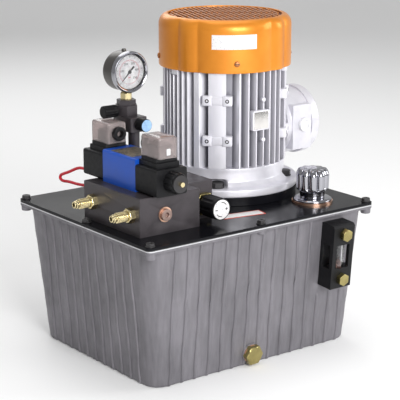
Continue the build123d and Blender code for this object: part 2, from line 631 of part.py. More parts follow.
def make_plug_housings():
    """Clear connector plugs, hollow from below, with a cable nose at one end."""
    housings = []
    for sign in (-1, 1):
        mid = din_mid(sign)
        half_w, half_l = DIN_W / 2, DIN_L / 2
        shell = block(VALVE_X - half_w, VALVE_X + half_w, mid - half_l, mid + half_l, DIN_Z0, DIN_Z1)
        shell = fillet(shell.edges().filter_by(Axis.Z), 3)
        shell = fillet(shell.faces().sort_by(Axis.Z)[-1].edges(), 2)
        shell -= block(VALVE_X - 11.5, VALVE_X + 11.5, mid - 17, mid + 17, DIN_Z0 - 1, DIN_Z1 - 2.5)
        face = mid + DIN_L / 2 if sign < 0 else mid - DIN_L / 2
        a, b = sorted((face + sign * 4, face))
        shell -= rod_y(VALVE_X, 301.6, a - 1, b + 1, 6.5)
        housings.append(shell)
    return group(*housings)


def make_plug_glands():
    """Black cable glands, open, in the noses of the plugs."""
    glands = []
    for sign in (-1, 1):
        face = din_mid(sign) - sign * DIN_L / 2
        a, b = sorted((face, face - sign * 7))
        c, d = sorted((face + sign * 3, face - sign * 7))
        gland = rod_y(VALVE_X, 301.6, a, b, 9) + rod_y(VALVE_X, 301.6, c, d, 6.4)
        glands.append(gland - rod_y(VALVE_X, 301.6, c - 1, d + 1, 4.5))
    return group(*glands)


# ---- relief valve -------------------------------------------------------------------------
def make_relief_cartridge():
    body = rod_y(RELIEF_X, RELIEF_Z, WING_Y0, WING_Y0 + 33, 10)
    body += Pos(RELIEF_X, WING_Y0 - 8, RELIEF_Z) * Rot(-90, 0, 0) * hexagon(27, 8)
    return body + rod_y(RELIEF_X, RELIEF_Z, -112, WING_Y0, 5)


def make_relief_knob():
    """Black hand knob with shallow flats."""
    knob = rod_y(RELIEF_X, RELIEF_Z, KNOB_Y0, KNOB_Y1, KNOB_R)
    for k in range(8):
        angle = radians(45 * k + 10)
        knob -= rod_y(RELIEF_X + 20 * cos(angle), RELIEF_Z + 20 * sin(angle), KNOB_Y0 + 3, KNOB_Y1 + 1, 6.2)
    return knob - rod_y(RELIEF_X, RELIEF_Z, -112.5, KNOB_Y1 + 1, 5.05)


# ---- gauge tower --------------------------------------------------------------------------
def make_gauge_block():
    """Column and cross block that carries the gauge, the switch and the isolator."""
    column = rod(TOWER_X, TOWER_Y, BLOCK_TOP - 9, BLOCK2_Z0 + 1, 5)
    column += rod(TOWER_X, TOWER_Y, BLOCK_TOP, BLOCK2_Z0 + 1, 7.5)
    body = block(TOWER_X - 13, TOWER_X + 13, -4, 38, BLOCK2_Z0, BLOCK2_Z1)
    body = fillet(body.edges().filter_by(Axis.Z), 3)
    column += body
    column -= rod(TOWER_X, STEM_Y, BLOCK2_Z1 - 8, BLOCK2_Z1 + 1, 6.05)
    return column - rod_y(TOWER_X, 310, -5, 8, 4.05)


def make_switch_knob():
    """Adjusting cap of the pressure switch, facing the front."""
    knob = rod_y(TOWER_X, 310, -21, -5, 8.6) + rod_y(TOWER_X, 310, -6, 7, 4)
    return knob


def make_gauge_adaptor():
    """Isolator body and lock nut under the gauge."""
    body = Pos(TOWER_X, STEM_Y, BLOCK2_Z1) * hexagon(27, 13)
    body += rod(TOWER_X, STEM_Y, BLOCK2_Z1 - 7, BLOCK2_Z1 + 2, 6)
    body += Pos(TOWER_X, STEM_Y, 331) * Rot(0, 0, 15) * hexagon(22, 7)
    body -= rod(TOWER_X, STEM_Y, 327, 339, 5.05)
    return body - rod_x(STEM_Y, 324.5, TOWER_X - 20, TOWER_X - 4, 3.05)


def make_isolator_knob():
    knob = rod_x(STEM_Y, 324.5, TOWER_X - 37, TOWER_X - 16, 8.2)
    for k in range(10):
        angle = radians(36 * k)
        knob -= rod_x(STEM_Y + 9.4 * cos(angle), 324.5 + 9.4 * sin(angle), TOWER_X - 34, TOWER_X - 15, 1.3)
    return knob + rod_x(STEM_Y, 324.5, TOWER_X - 17, TOWER_X - 4.5, 3)


def make_gauge_stem():
    stem = rod(TOWER_X, STEM_Y, 328, 352, 5)
    return stem + Pos(TOWER_X, STEM_Y, 338) * hexagon(14, 9.5)


def make_gauge_case():
    case = rod_y(TOWER_X, GAUGE_Z, GAUGE_FACE + 5, GAUGE_BACK, GAUGE_R - 1.2)
    case = fillet(case.faces().sort_by(Axis.Y)[-1].edges(), 3)
    case -= rod_y(TOWER_X, GAUGE_Z, GAUGE_FACE + 4, GAUGE_BACK - 2, GAUGE_R - 3.2)
    case -= rod(TOWER_X, STEM_Y, 340, 353, 5.05)
    case -= block(TOWER_X - 9, TOWER_X + 9, STEM_Y - 9, STEM_Y + 9, 340, 347.5)
    return case + rod(TOWER_X, STEM_Y + 4, GAUGE_Z + GAUGE_R - 2.5, GAUGE_Z + GAUGE_R + 2, 3)


def make_gauge_bezel():
    ring = rod_y(TOWER_X, GAUGE_Z, GAUGE_FACE, GAUGE_FACE + 5, GAUGE_R)
    skirt = rod_y(TOWER_X, GAUGE_Z, GAUGE_FACE + 5, GAUGE_FACE + 7, GAUGE_R)
    ring += skirt - rod_y(TOWER_X, GAUGE_Z, GAUGE_FACE + 5, GAUGE_FACE + 8, GAUGE_R - 1.15)
    ring = fillet(ring.faces().sort_by(Axis.Y)[0].edges(), 1.5)
    ring -= rod_y(TOWER_X, GAUGE_Z, GAUGE_FACE - 1, GAUGE_FACE + 2, GAUGE_R - 4)
    return ring - rod_y(TOWER_X, GAUGE_Z, GAUGE_FACE + 1.6, GAUGE_FACE + 6, GAUGE_R - 3)


def make_gauge_window():
    return rod_y(TOWER_X, GAUGE_Z, GAUGE_FACE + 1.7, GAUGE_FACE + 3.2, GAUGE_R - 3.05)


def make_gauge_dial():
    dial = rod_y(TOWER_X, GAUGE_Z, GAUGE_FACE + 5.4, GAUGE_FACE + 6.2, GAUGE_R - 3.25)
    return dial - rod_y(TOWER_X, GAUGE_Z, 10, 30, 1.2)


def make_gauge_needle():
    """Pointer at zero, low left; it turns clockwise seen from the front."""
    y = GAUGE_FACE + 4.2
    arm = Pos(TOWER_X, y + 0.3, GAUGE_Z) * Rot(0, 45, 0) * Pos(-5.5, 0, 0) * Box(25, 0.6, 1.3)
    hub = rod_y(TOWER_X, GAUGE_Z, y - 0.4, y + 0.9, 2.4) + rod_y(TOWER_X, GAUGE_Z, y, y + 12, 1)
    return arm + hub


# ---- breather, sight gauge, drain, lead ---------------------------------------------------
def make_breather_base():
    x, y = BREATHER_X, BREATHER_Y
    base = rod(x, y, PLATE_TOP + 2.5, PLATE_TOP + 6.5, 26.2) + rod(x, y, 150, PLATE_TOP + 17, 14.5)
    base = base - rod(x, y, 152, PLATE_TOP + 20, 12.5)
    return base


def make_breather_gasket():
    x, y = BREATHER_X, BREATHER_Y
    return rod(x, y, PLATE_TOP, PLATE_TOP + 2.5, 27.5) - rod(x, y, 190, 200, 14.55)


def make_breather_cap():
    """Domed cap with ten lobes, over a narrower plain neck."""
    x, y, z0 = BREATHER_X, BREATHER_Y, PLATE_TOP + 6.8
    cap = rod(x, y, z0 + BREATHER_NECK, BREATHER_TOP, BREATHER_R)
    cap = fillet(cap.faces().sort_by(Axis.Z)[-1].edges(), 10)
    for k in range(10):
        angle = radians(36 * k + 10)
        cap -= rod(x + 27.5 * cos(angle), y + 27.5 * sin(angle), z0, BREATHER_TOP + 1, 6)
    cap += rod(x, y, z0, z0 + BREATHER_NECK + 1, BREATHER_NECK_R)
    return cap - rod(x, y, z0 - 1, PLATE_TOP + 17.4, 14.8)


def make_sight_frame():
    """Deep black frame with an open window on three sides, cut to lean with the wall."""
    frame = block(-SIGHT_W / 2, SIGHT_W / 2, -SIGHT_D, 0, -SIGHT_H / 2, SIGHT_H / 2)
    frame = chamfer(frame.faces().sort_by(Axis.Z)[-1].edges().sort_by(Axis.Y)[0], 3)
    frame -= block(-11, 11, -30, -5, -16, 16)
    frame -= block(-30, 30, -SIGHT_D + 6, -5, -16, 16)
    frame -= rod(0, -SIGHT_D / 2 - 2, -22, 22, 8.6)
    for dz in (-SIGHT_PITCH / 2, SIGHT_PITCH / 2):
        frame -= rod_y(0, dz, -30, 5, 5.05)
    return on_front_wall(SIGHT_X, SIGHT_Z) * frame


def make_sight_tube():
    """Clear tube between the frame's two ends."""
    tube = rod(0, -SIGHT_D / 2 - 2, -21.9, 21.9, 8.5) - rod(0, -SIGHT_D / 2 - 2, -25, 25, 6.5)
    return on_front_wall(SIGHT_X, SIGHT_Z) * tube


def make_sight_bolts():
    bolts = []
    for dz in (-SIGHT_PITCH / 2, SIGHT_PITCH / 2):
        head = Pos(0, -SIGHT_D - 7, dz) * Rot(-90, 0, 0) * Rot(0, 0, 30) * hexagon(15, 7)
        bolt = head + rod_y(0, dz, -SIGHT_D - 1, 12, 5)
        bolts.append(on_front_wall(SIGHT_X, SIGHT_Z) * bolt)
    return group(*bolts)


def make_drain_plug():
    """Hex drain plug, low on the front wall, one corner down."""
    head = Pos(0, -DRAIN_BOSS - 11, 0) * Rot(-90, 0, 0) * Rot(0, 0, 30) * hexagon(DRAIN_AF, 9)
    return on_front_wall(DRAIN_X, DRAIN_Z) * (head + rod_y(0, 0, -DRAIN_BOSS - 3, 10, 8))


def lead_path():
    """Straight runs joined by arcs as large as the runs allow."""
    points = [Vector(LEAD_X, y, z) for y, z in LEAD_ROUTE]
    runs = [b - a for a, b in zip(points, points[1:])]
    radii = []
    for one, two in zip(runs, runs[1:]):
        turn = one.get_angle(two)
        radii.append(0.45 * min(one.length, two.length) / tan(radians(turn / 2)))
    print("red lead radii", [round(r, 1) for r in radii])
    path = FilletPolyline(*points, radius=radii)
    print("red lead length", round(path.length, 1))
    return path


def make_red_lead():
    path = lead_path()
    lead = sweep(Plane(path @ 0, z_dir=path % 0) * Circle(LEAD_R), path=path)
    print("red lead volume ratio", round(lead.volume / (pi * LEAD_R**2 * path.length), 3))
    return lead


def main():
    os.makedirs("parts", exist_ok=True)
    pieces = {
        "tank": make_tank(), "tank_gasket": make_gasket(), "top_plate": make_plate(),
        "plate_screws": make_plate_screws(), "bell_housing": make_bell_housing(),
        "motor_flange": make_motor_flange(), "motor_bolts": make_motor_bolts(),
        "motor_frame": make_motor_frame(), "stator": make_stator(), "rotor_core": make_rotor_core(),
        "motor_shaft": make_motor_shaft(), "motor_bearings": make_motor_bearings(),
        "rear_shield": make_rear_shield(), "cooling_fan": make_fan(), "fan_cowl": make_cowl(),
        "cover_screws": make_cover_screws(), "terminal_box": make_terminal_box(),
        "terminal_cover": make_terminal_cover(), "cable_plug": make_cable_plug(),
        "coupling": make_coupling(), "pump_body": make_pump_body(), "drive_gear": make_drive_gear(),
        "driven_gear": make_driven_gear(), "oil_pipes": make_oil_pipes(),
        "suction_strainer": make_strainer(), "manifold_block": make_manifold(),
        "manifold_bolts": make_manifold_bolts(), "port_fittings": make_port_fittings(),
        "block_plug": make_block_plug(), "sealing_washers": make_washers(),
        "valve_body": make_valve_body(), "valve_spool": make_spool(),
        "spool_springs": make_spool_springs(), "solenoid_coils": make_coils(),
        "armature_tubes": make_armature_tubes(), "coil_nuts": make_coil_nuts(),
        "front_override_pin": make_override_pin(-1), "rear_override_pin": make_override_pin(1),
        "plug_housings": make_plug_housings(), "plug_glands": make_plug_glands(),
        "relief_cartridge": make_relief_cartridge(), "relief_knob": make_relief_knob(),
        "gauge_block": make_gauge_block(), "switch_knob": make_switch_knob(),
        "isolator_knob": make_isolator_knob(), "gauge_adaptor": make_gauge_adaptor(),
        "gauge_stem": make_gauge_stem(), "gauge_case": make_gauge_case(),
        "gauge_bezel": make_gauge_bezel(), "gauge_window": make_gauge_window(),
        "gauge_dial": make_gauge_dial(), "gauge_needle": make_gauge_needle(),
        "breather_base": make_breather_base(), "breather_gasket": make_breather_gasket(),
        "breather_cap": make_breather_cap(), "sight_frame": make_sight_frame(),
        "sight_tube": make_sight_tube(), "sight_bolts": make_sight_bolts(),
        "drain_plug": make_drain_plug(), "red_lead": make_red_lead(),
    }
    for name, shape in pieces.items():
        save(name, shape)
    print(len(pieces), "nodes")


main()
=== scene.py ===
"""Hydraulic power unit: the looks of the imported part.

Lengths are millimetres in the frame of the part, and make() turns them into metres.
A solid is a pair: an array of points, and a list of face arrays that index them.
"""
import json
import math

import bmesh
import bpy
import numpy as np
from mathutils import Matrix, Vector


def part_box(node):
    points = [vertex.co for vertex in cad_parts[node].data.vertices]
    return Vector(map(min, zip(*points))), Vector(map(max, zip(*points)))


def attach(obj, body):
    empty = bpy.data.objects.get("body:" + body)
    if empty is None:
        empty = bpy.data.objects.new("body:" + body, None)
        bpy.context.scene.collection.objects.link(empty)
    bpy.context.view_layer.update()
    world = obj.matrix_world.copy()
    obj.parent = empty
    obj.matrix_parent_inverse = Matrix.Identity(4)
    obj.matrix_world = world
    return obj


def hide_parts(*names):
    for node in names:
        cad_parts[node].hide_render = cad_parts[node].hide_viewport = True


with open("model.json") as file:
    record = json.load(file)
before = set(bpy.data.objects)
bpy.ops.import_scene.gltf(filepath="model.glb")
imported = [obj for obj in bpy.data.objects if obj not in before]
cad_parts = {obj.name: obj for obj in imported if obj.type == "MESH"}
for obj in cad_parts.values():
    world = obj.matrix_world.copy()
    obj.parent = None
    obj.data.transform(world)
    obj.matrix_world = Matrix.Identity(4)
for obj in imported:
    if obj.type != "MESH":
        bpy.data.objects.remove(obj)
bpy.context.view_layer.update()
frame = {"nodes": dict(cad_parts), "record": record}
NODES = frame["nodes"]
MM = 0.001


# ---- camera -------------------------------------------------------------------------------
VIEW_TURN, VIEW_RISE = math.radians(-37.3), math.radians(14.7)
camera = bpy.data.objects.new("camera", bpy.data.cameras.new("camera"))
camera.location = (-1.1389, -1.5053, 0.6880)
camera.rotation_euler = (math.pi / 2 - VIEW_RISE, 0, VIEW_TURN)
camera.data.sensor_width = 36
camera.data.lens = 130.3
camera.data.clip_end = 20
bpy.context.scene.collection.objects.link(camera)
bpy.context.scene.camera = camera


# ---- materials ----------------------------------------------------------------------------
class Finish:
    """A surface whose colour, roughness and fine relief vary over Object coordinates."""

    def __init__(self, name, colour, rough, metal=0.0):
        """A plain material with one colour, roughness and metalness."""
        self.material = bpy.data.materials.new(name)
        self.material.use_nodes = True
        self.tree = self.material.node_tree
        self.shader = self.tree.nodes["Principled BSDF"]
        self.place = self.tree.nodes.new("ShaderNodeTexCoord").outputs["Object"]
        self.set("Base Color", (*colour, 1))
        self.set("Roughness", rough)
        self.set("Metallic", metal)
        self.material.diffuse_color = (*colour, 1)

    def set(self, socket, value):
        """Set one value of the shader."""
        self.shader.inputs[socket].default_value = value
        return self

    def node(self, kind, **values):
        """Add a shader node of one kind with its values set."""
        made = self.tree.nodes.new("ShaderNode" + kind)
        for key, value in values.items():
            if key in made.inputs:
                made.inputs[key].default_value = value
            else:
                setattr(made, key, value)
        return made

    def link(self, start, end):
        """Join one socket to another."""
        self.tree.links.new(start, end)

    def noise(self, size, detail=3.0, stretch=(1, 1, 1), place=None):
        """Noise with features of about `size` millimetres, stretched by a Mapping node."""
        mapping = self.node("Mapping")
        mapping.inputs["Scale"].default_value = stretch
        self.link(place or self.place, mapping.inputs["Vector"])
        noise = self.node("TexNoise", Scale=1 / (size * MM), Detail=detail)
        self.link(mapping.outputs["Vector"], noise.inputs["Vector"])
        return noise.outputs["Fac"]

    def span(self, factor, low, high, start=0.3, end=0.7):
        """The factor, stretched from start..end to low..high."""
        ranged = self.node("MapRange")
        for key, value in (("From Min", start), ("From Max", end), ("To Min", low), ("To Max", high)):
            ranged.inputs[key].default_value = value
        self.link(factor, ranged.inputs["Value"])
        return ranged.outputs["Result"]

    def tint(self, factor, dark, light, start=0.3, end=0.7):
        """Base colour that runs from dark to light with the factor."""
        mix = self.tree.nodes.new("ShaderNodeMix")
        mix.data_type = "RGBA"
        mix.inputs["A"].default_value = (*dark, 1)
        mix.inputs["B"].default_value = (*light, 1)
        self.link(self.span(factor, 0, 1, start, end), mix.inputs["Factor"])
        self.link(mix.outputs["Result"], self.shader.inputs["Base Color"])
        return self

    def worn(self, factor, low, high):
        """Roughness that varies between low and high."""
        self.link(self.span(factor, low, high), self.shader.inputs["Roughness"])
        return self

    def relief(self, factor, height, strength=1.0):
        """Fine relief, `height` millimetres deep."""
        bump = self.node("Bump", Distance=height * MM, Strength=strength)
        self.link(factor, bump.inputs["Height"])
        self.link(bump.outputs["Normal"], self.shader.inputs["Normal"])
        return self


def shade(colour, by):
    """The colour made lighter or darker by a factor."""
    return tuple(min(1.0, c * by) for c in colour)


def plated(name, colour, rough, metal=1.0, grain=0.05, size=3.0, vary=0.12):
    """Metal or plated surface with faint blotches and a fine grain."""
    finish = Finish(name, colour, rough, metal)
    blotch = finish.noise(size * 6)
    finish.tint(blotch, shade(colour, 1 - vary), shade(colour, 1 + vary))
    finish.worn(blotch, rough * 0.8, rough * 1.25)
    return finish.relief(finish.noise(size * 0.3), grain)


def painted(name, colour, rough, metal=0.0, peel=0.03, coat=0.0, level=0.5):
    """Sprayed enamel: even colour and a slight orange peel."""
    finish = Finish(name, colour, rough, metal)
    blotch = finish.noise(30, 2)
    finish.tint(blotch, shade(colour, 0.93), shade(colour, 1.07))
    finish.worn(blotch, rough * 0.85, rough * 1.2)
    finish.set("Coat Weight", coat).set("Coat Roughness", 0.15).set("Specular IOR Level", level)
    return finish.relief(finish.noise(2.2, 2), peel)


def moulded(name, colour, rough):
    """Moulded plastic or rubber with a fine matt texture."""
    finish = Finish(name, colour, rough)
    soft = finish.noise(6)
    finish.tint(soft, shade(colour, 0.85), shade(colour, 1.2))
    finish.worn(soft, rough * 0.85, rough * 1.15)
    finish.set("Specular IOR Level", 0.28)
    return finish.relief(finish.noise(0.8), 0.03)


def clear(name, colour, rough, haze=0.0):
    """Clear plastic or glass with faint streaks."""
    finish = Finish(name, colour, rough)
    streak = finish.noise(9, stretch=(1, 1, 0.4))
    finish.tint(streak, shade(colour, 0.9), shade(colour, 1.05))
    finish.worn(streak, rough * 0.7, rough * 1.4 + 0.01)
    finish.set("Transmission Weight", 1.0 - haze).set("IOR", 1.45)
    return finish.relief(finish.noise(4), 0.02)


def cast_aluminium():
    """Sand-cast skin: large soft blotches, upright streaks, dark specks and a grainy relief."""
    low, high = (0.125, 0.12, 0.132), (0.215, 0.205, 0.225)
    finish = Finish("cast_aluminium", high, 0.5, 0.25)
    blotch = finish.noise(38, 5, stretch=(1, 1, 0.45))
    streak = finish.noise(5, 4, stretch=(1, 1, 0.12))
    both = finish.node("Math", operation="ADD")
    finish.link(finish.span(blotch, 0, 0.6), both.inputs[0])
    finish.link(finish.span(streak, 0, 0.4), both.inputs[1])
    finish.tint(both.outputs[0], low, high, 0.05, 0.95)
    finish.worn(finish.noise(14), 0.42, 0.62)
    return finish.relief(finish.noise(1.6, 6), 0.28, 0.8)


def silver_enamel():
    """Silver motor paint, slightly cloudy."""
    finish = Finish("silver_enamel", (0.72, 0.71, 0.76), 0.36, 0.4)
    finish.tint(finish.noise(22), (0.66, 0.65, 0.70), (0.78, 0.77, 0.82))
    finish.worn(finish.noise(9), 0.3, 0.44)
    return finish.relief(finish.noise(1.5, 4), 0.07)


def recess_shaded_enamel(axis, dark_r, light_r):
    """Silver paint with painted shade between the fins: darker nearer than dark_r to the motor's axis."""
    finish = Finish("silver_frame", (0.70, 0.69, 0.74), 0.38, 0.35)
    flat = finish.node("VectorMath", operation="MULTIPLY")
    flat.inputs[1].default_value = (1, 1, 0)
    finish.link(finish.place, flat.inputs[0])
    reach = finish.node("VectorMath", operation="DISTANCE")
    reach.inputs[1].default_value = (axis[0] * MM, axis[1] * MM, 0)
    finish.link(flat.outputs[0], reach.inputs[0])
    # painted shade: the colour runs dark near the axis, where the recesses between the fins are
    finish.tint(reach.outputs["Value"], (0.27, 0.265, 0.30), (0.76, 0.75, 0.80), dark_r * MM, light_r * MM)
    finish.worn(finish.noise(9), 0.3, 0.46)
    return finish.relief(finish.noise(1.5, 4), 0.07)


def gold_enamel():
    """Metallic gold-orange enamel under a clear coat."""
    finish = Finish("gold_enamel", (0.72, 0.25, 0.022), 0.36, 0.4)
    finish.tint(finish.noise(40), (0.67, 0.225, 0.017), (0.77, 0.28, 0.027))
    finish.set("Specular IOR Level", 0.35)
    finish.worn(finish.noise(4), 0.3, 0.4)
    finish.set("Coat Weight", 0.12).set("Coat Roughness", 0.2)
    return finish.relief(finish.noise(1.2, 3), 0.03)


def printed(name, ground, ink, size, cover):
    """A pale label with rows of faint, meaningless print."""
    finish = Finish(name, ground, 0.45)
    print_rows = finish.noise(size, 5)
    finish.tint(print_rows, ink, ground, cover, cover + 0.04)
    return finish.relief(finish.noise(3), 0.01)


LOOK = {
    "cast_aluminium": cast_aluminium(),
    "black_rubber": moulded("gasket_rubber", (0.03, 0.03, 0.03), 0.7),
    "black_paint": painted("black_satin", (0.006, 0.006, 0.008), 0.2, level=0.12),
    "black_steel": plated("blackened_steel", (0.05, 0.048, 0.05), 0.42, 0.6),
    "silver_paint": silver_enamel(),
    "core_steel": plated("core_steel", (0.32, 0.32, 0.34), 0.45),
    "bright_steel": plated("ground_steel", (0.62, 0.62, 0.64), 0.2),
    "zinc_steel": plated("zinc_plate", (0.72, 0.70, 0.68), 0.25),
    "black_plastic": moulded("black_moulding", (0.004, 0.004, 0.005), 0.5),
    "gold_paint": gold_enamel(),
    "pale_plastic": moulded("pale_moulding", (0.72, 0.72, 0.74), 0.4),
    "black_oxide": plated("black_oxide", (0.055, 0.048, 0.053), 0.4, 0.35, vary=0.2),
    "brass": plated("brass", (0.74, 0.63, 0.36), 0.24, vary=0.1),
    "copper": plated("copper_washer", (0.80, 0.50, 0.36), 0.3),
    "blue_paint": painted("blue_enamel", (0.004, 0.075, 0.46), 0.4, coat=0.05),
    "clear_plastic": clear("smoky_clear", (0.74, 0.65, 0.64), 0.12, 0.22),
    "yellow_zinc": plated("yellow_zinc", (0.40, 0.34, 0.14), 0.3, vary=0.25),
    "grey_case": painted("gauge_case_grey", (0.10, 0.095, 0.09), 0.32, 0.6),
    "chrome": plated("chrome", (0.36, 0.36, 0.39), 0.1, vary=0.03, grain=0.01),
    "clear_glass": clear("clear_glass", (0.95, 0.96, 0.97), 0.02),
    "white_dial": moulded("dial_white", (0.88, 0.84, 0.86), 0.5),
    "red_sheath": moulded("red_sheath", (0.58, 0.02, 0.035), 0.35),
}
LABEL = printed("label_print", (0.74, 0.73, 0.72), (0.45, 0.45, 0.5), 1.6, 0.36)
LABEL_RED = moulded("label_border", (0.55, 0.06, 0.03), 0.45)
# painted shade: a near-black sheet for the shade seen through the grille's openings
PAN_SHADE = painted("grille_pan_shade", (0.10, 0.028, 0.01), 0.5, 0.2)
# painted shade: a darker copy of the cowl's gold paint, on the grille bars and the cowl's screw heads
SHADED_GOLD = painted("gold_paint_shaded", (0.44, 0.17, 0.055), 0.42, 0.5)
PLUG_TONE = plated("plug_bronze", (0.34, 0.24, 0.21), 0.4, 0.8)
MARK_DARK = moulded("dial_black", (0.03, 0.03, 0.035), 0.5)
MARK_RED = moulded("dial_red", (0.62, 0.08, 0.12), 0.5)
KNOB_LENS = moulded("switch_cap_blue", (0.30, 0.48, 0.72), 0.3)
OIL = clear("level_oil", (0.75, 0.42, 0.36), 0.05, 0.2)
VALVE_LABEL = printed("valve_label", (0.17, 0.14, 0.10), (0.05, 0.045, 0.04), 3.0, 0.45)
# painted highlight: a bright band for the light caught on the rim's top edge
RIM_HIGHLIGHT = plated("rim_edge_highlight", (0.62, 0.62, 0.64), 0.35, 0.5)

for part in frame["record"]["subparts"]:
    for place in NODES[part["node"]].material_slots:
        place.material = LOOK[part["material_slot"]].material


# ---- solids from grids --------------------------------------------------------------------
def tube_of(rings, caps=True, wrap=True):
    """Side faces between stacked closed rings (rows, points, 3), with a flat cap on each end."""
    rows, cols = rings.shape[:2]
    row = np.arange(rows - 1)[:, None] * cols
    col = np.arange(cols if wrap else cols - 1)[None, :]
    following = (col + 1) % cols
    sides = np.stack([row + col, row + following, row + cols + following, row + cols + col], -1)
    faces = [sides.reshape(-1, 4)]
    if caps:
        ends = np.arange(cols)
        faces += [ends[None, ::-1], ends[None, :] + (rows - 1) * cols]
    return rings.reshape(-1, 3), faces


def joined(*solids):
    """Several solids as one, their faces renumbered."""
    points, faces, start = [], [], 0
    for own, own_faces in solids:
        points.append(own)
        faces += [f + start for f in own_faces]
        start += len(own)
    return np.concatenate(points), faces


def moved(solid, by):
    """The solid shifted by a vector."""
    return solid[0] + np.array(by, float), solid[1]


AXES = {                              # where local X, Y and Z go
    "z": ((1, 0, 0), (0, 1, 0), (0, 0, 1)), "-z": ((1, 0, 0), (0, -1, 0), (0, 0, -1)),
    "-y": ((1, 0, 0), (0, 0, 1), (0, -1, 0)), "y": ((-1, 0, 0), (0, 0, 1), (0, 1, 0)),
    "x": ((0, 1, 0), (0, 0, 1), (1, 0, 0)), "-x": ((0, -1, 0), (0, 0, 1), (-1, 0, 0)),
}


def aimed(solid, axis, at=(0, 0, 0)):
    """The solid with its local Z along an axis, moved to a place."""
    return solid[0] @ np.array(AXES[axis], float) + np.array(at, float), solid[1]


def turned(solid, degrees, about=(0, 0)):
    """The solid turned about a vertical line."""
    c, s = math.cos(math.radians(degrees)), math.sin(math.radians(degrees))
    points = solid[0] - np.array([*about, 0])
    points = points @ np.array([[c, s, 0], [-s, c, 0], [0, 0, 1]])
    return points + np.array([*about, 0]), solid[1]


def ring_angles(count):
    """Even angles once round a circle, in radians."""
    return np.linspace(0, 2 * np.pi, count, endpoint=False)


def eased(corners, radius, steps=4):
    """A polyline of (r, z) corners with each inner corner rounded by a quadratic curve."""
    corners = np.array(corners, float)
    points = [corners[:1]]
    for before, corner, after in zip(corners, corners[1:], corners[2:]):
        one, two = before - corner, after - corner
        reach = min(radius, np.linalg.norm(one) * 0.45, np.linalg.norm(two) * 0.45)
        a = corner + one / np.linalg.norm(one) * reach
        b = corner + two / np.linalg.norm(two) * reach
        t = np.linspace(0, 1, steps)[:, None]
        points.append(a * (1 - t) ** 2 + corner * 2 * t * (1 - t) + b * t ** 2)
    points.append(corners[-1:])
    return np.concatenate(points)


def lathe(corners, round_by=0.6, count=64, shape=None, steps=4):
    """Profile (r, z) turned about Z; shape(angle, r, z) may change each radius."""
    profile = eased(corners, round_by, steps)
    angle = ring_angles(count)[None, :]
    r, z = profile[:, :1], profile[:, 1:] + 0 * angle
    radius = r + 0 * angle if shape is None else shape(angle, r + 0 * angle, z)
    closed = tuple(corners[0]) == tuple(corners[-1])
    return tube_of(np.stack([radius * np.cos(angle), radius * np.sin(angle), z], -1), caps=not closed)


def hexed(flats, turn=0.0):
    """Shape for lathe: radius cut down to a hexagon of that width across flats."""
    def shape(angle, r, z):
        """The radius, cut back to the nearest of the six flats."""
        local = (angle + math.radians(turn)) % (np.pi / 3) - np.pi / 6
        return np.minimum(r, flats / 2 / np.cos(local))
    return shape


def hex_head(flats, height, turn=0.0, socket=0.0):
    """Hexagon with its corners chamfered by a cone, and a shallow dished or socketed end."""
    corner = flats / 2 / math.cos(math.pi / 6)
    profile = [(corner, 0), (corner, height * 0.86), (flats * 0.46, height)]
    profile += [(socket, height), (socket * 0.95, height * 0.35)] if socket else [(flats * 0.1, height)]
    return lathe(profile, 0.3, 72, hexed(flats, turn), 3)


def outline(half_x, half_y, radius, arc=6, along=2, across=2):
    """Rounded rectangles, one for each row of the sizes: points (rows, n, 2), anticlockwise."""
    half_x, half_y, radius = (np.atleast_1d(np.asarray(v, float)) for v in (half_x, half_y, radius))
    half_x, half_y, radius = np.broadcast_arrays(half_x, half_y, radius)
    signs = ((1, 1), (-1, 1), (-1, -1), (1, -1))
    corners = []
    for k, (sx, sy) in enumerate(signs):
        a = np.radians(np.linspace(90 * k, 90 * k + 90, arc))
        centre = np.stack([sx * (half_x - radius), sy * (half_y - radius)], -1)[:, None, :]
        corners.append(centre + radius[:, None, None] * np.stack([np.cos(a), np.sin(a)], -1)[None])
    parts = []
    for k in range(4):
        start, end = corners[k][:, -1:, :], corners[(k + 1) % 4][:, :1, :]
        t = np.linspace(0, 1, (along if k % 2 == 0 else across) + 2)[1:-1][None, :, None]
        parts += [corners[k], start + (end - start) * t]
    return np.concatenate(parts, 1)


def soft_box(low, high, corner=2.0, edge=0.8, up="z"):
    """Box with rounded upright corners and eased top and bottom edges; `up` is its long axis."""
    low, high = np.array(low, float), np.array(high, float)
    axes = np.array(AXES[up], float)
    size = np.abs(axes @ (high - low))
    edge = min(edge, size.min() * 0.3)
    corner = min(corner, size[0] * 0.48, size[1] * 0.48)
    a = np.linspace(0, np.pi / 2, 4)
    inset = edge * (1 - np.concatenate([np.sin(a), np.cos(a)]))
    z = np.concatenate([edge * (1 - np.cos(a)), size[2] - edge * (1 - np.sin(a))]) - size[2] / 2
    rings = outline(size[0] / 2 - inset, size[1] / 2 - inset, np.maximum(corner - inset, 0.05))
    points = np.concatenate([rings, np.repeat(z[:, None, None], rings.shape[1], 1)], -1)
    return aimed(tube_of(points), up, (low + high) / 2)


def make(name, solid, look, body="housing", instead=(), crease=32.0, outward=True):
    """Mesh object from a solid: metres, welded, outward faces, smooth except at sharp creases."""
    points, faces = solid
    mesh = bpy.data.meshes.new(name)
    mesh.from_pydata((points * MM).tolist(), [], sum((f.tolist() for f in faces), []))
    if outward:
        work = bmesh.new()
        work.from_mesh(mesh)
        bmesh.ops.remove_doubles(work, verts=work.verts, dist=1e-7)
        bmesh.ops.recalc_face_normals(work, faces=work.faces)
        work.to_mesh(mesh)
        work.free()
    mesh.polygons.foreach_set("use_smooth", np.ones(len(mesh.polygons), bool))
    mesh.set_sharp_from_angle(angle=math.radians(crease))
    mesh.update()
    return placed_piece(name, mesh, look, body, instead)


def placed_piece(name, mesh, look, body, instead):
    """Object for a finished mesh, with its finish, body, slot and the nodes it stands for."""
    obj = bpy.data.objects.new(name, mesh)
    bpy.context.scene.collection.objects.link(obj)
    mesh.materials.append(look.material)
    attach(obj, body)
    if instead:
        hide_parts(*((instead,) if isinstance(instead, str) else instead))
    return obj


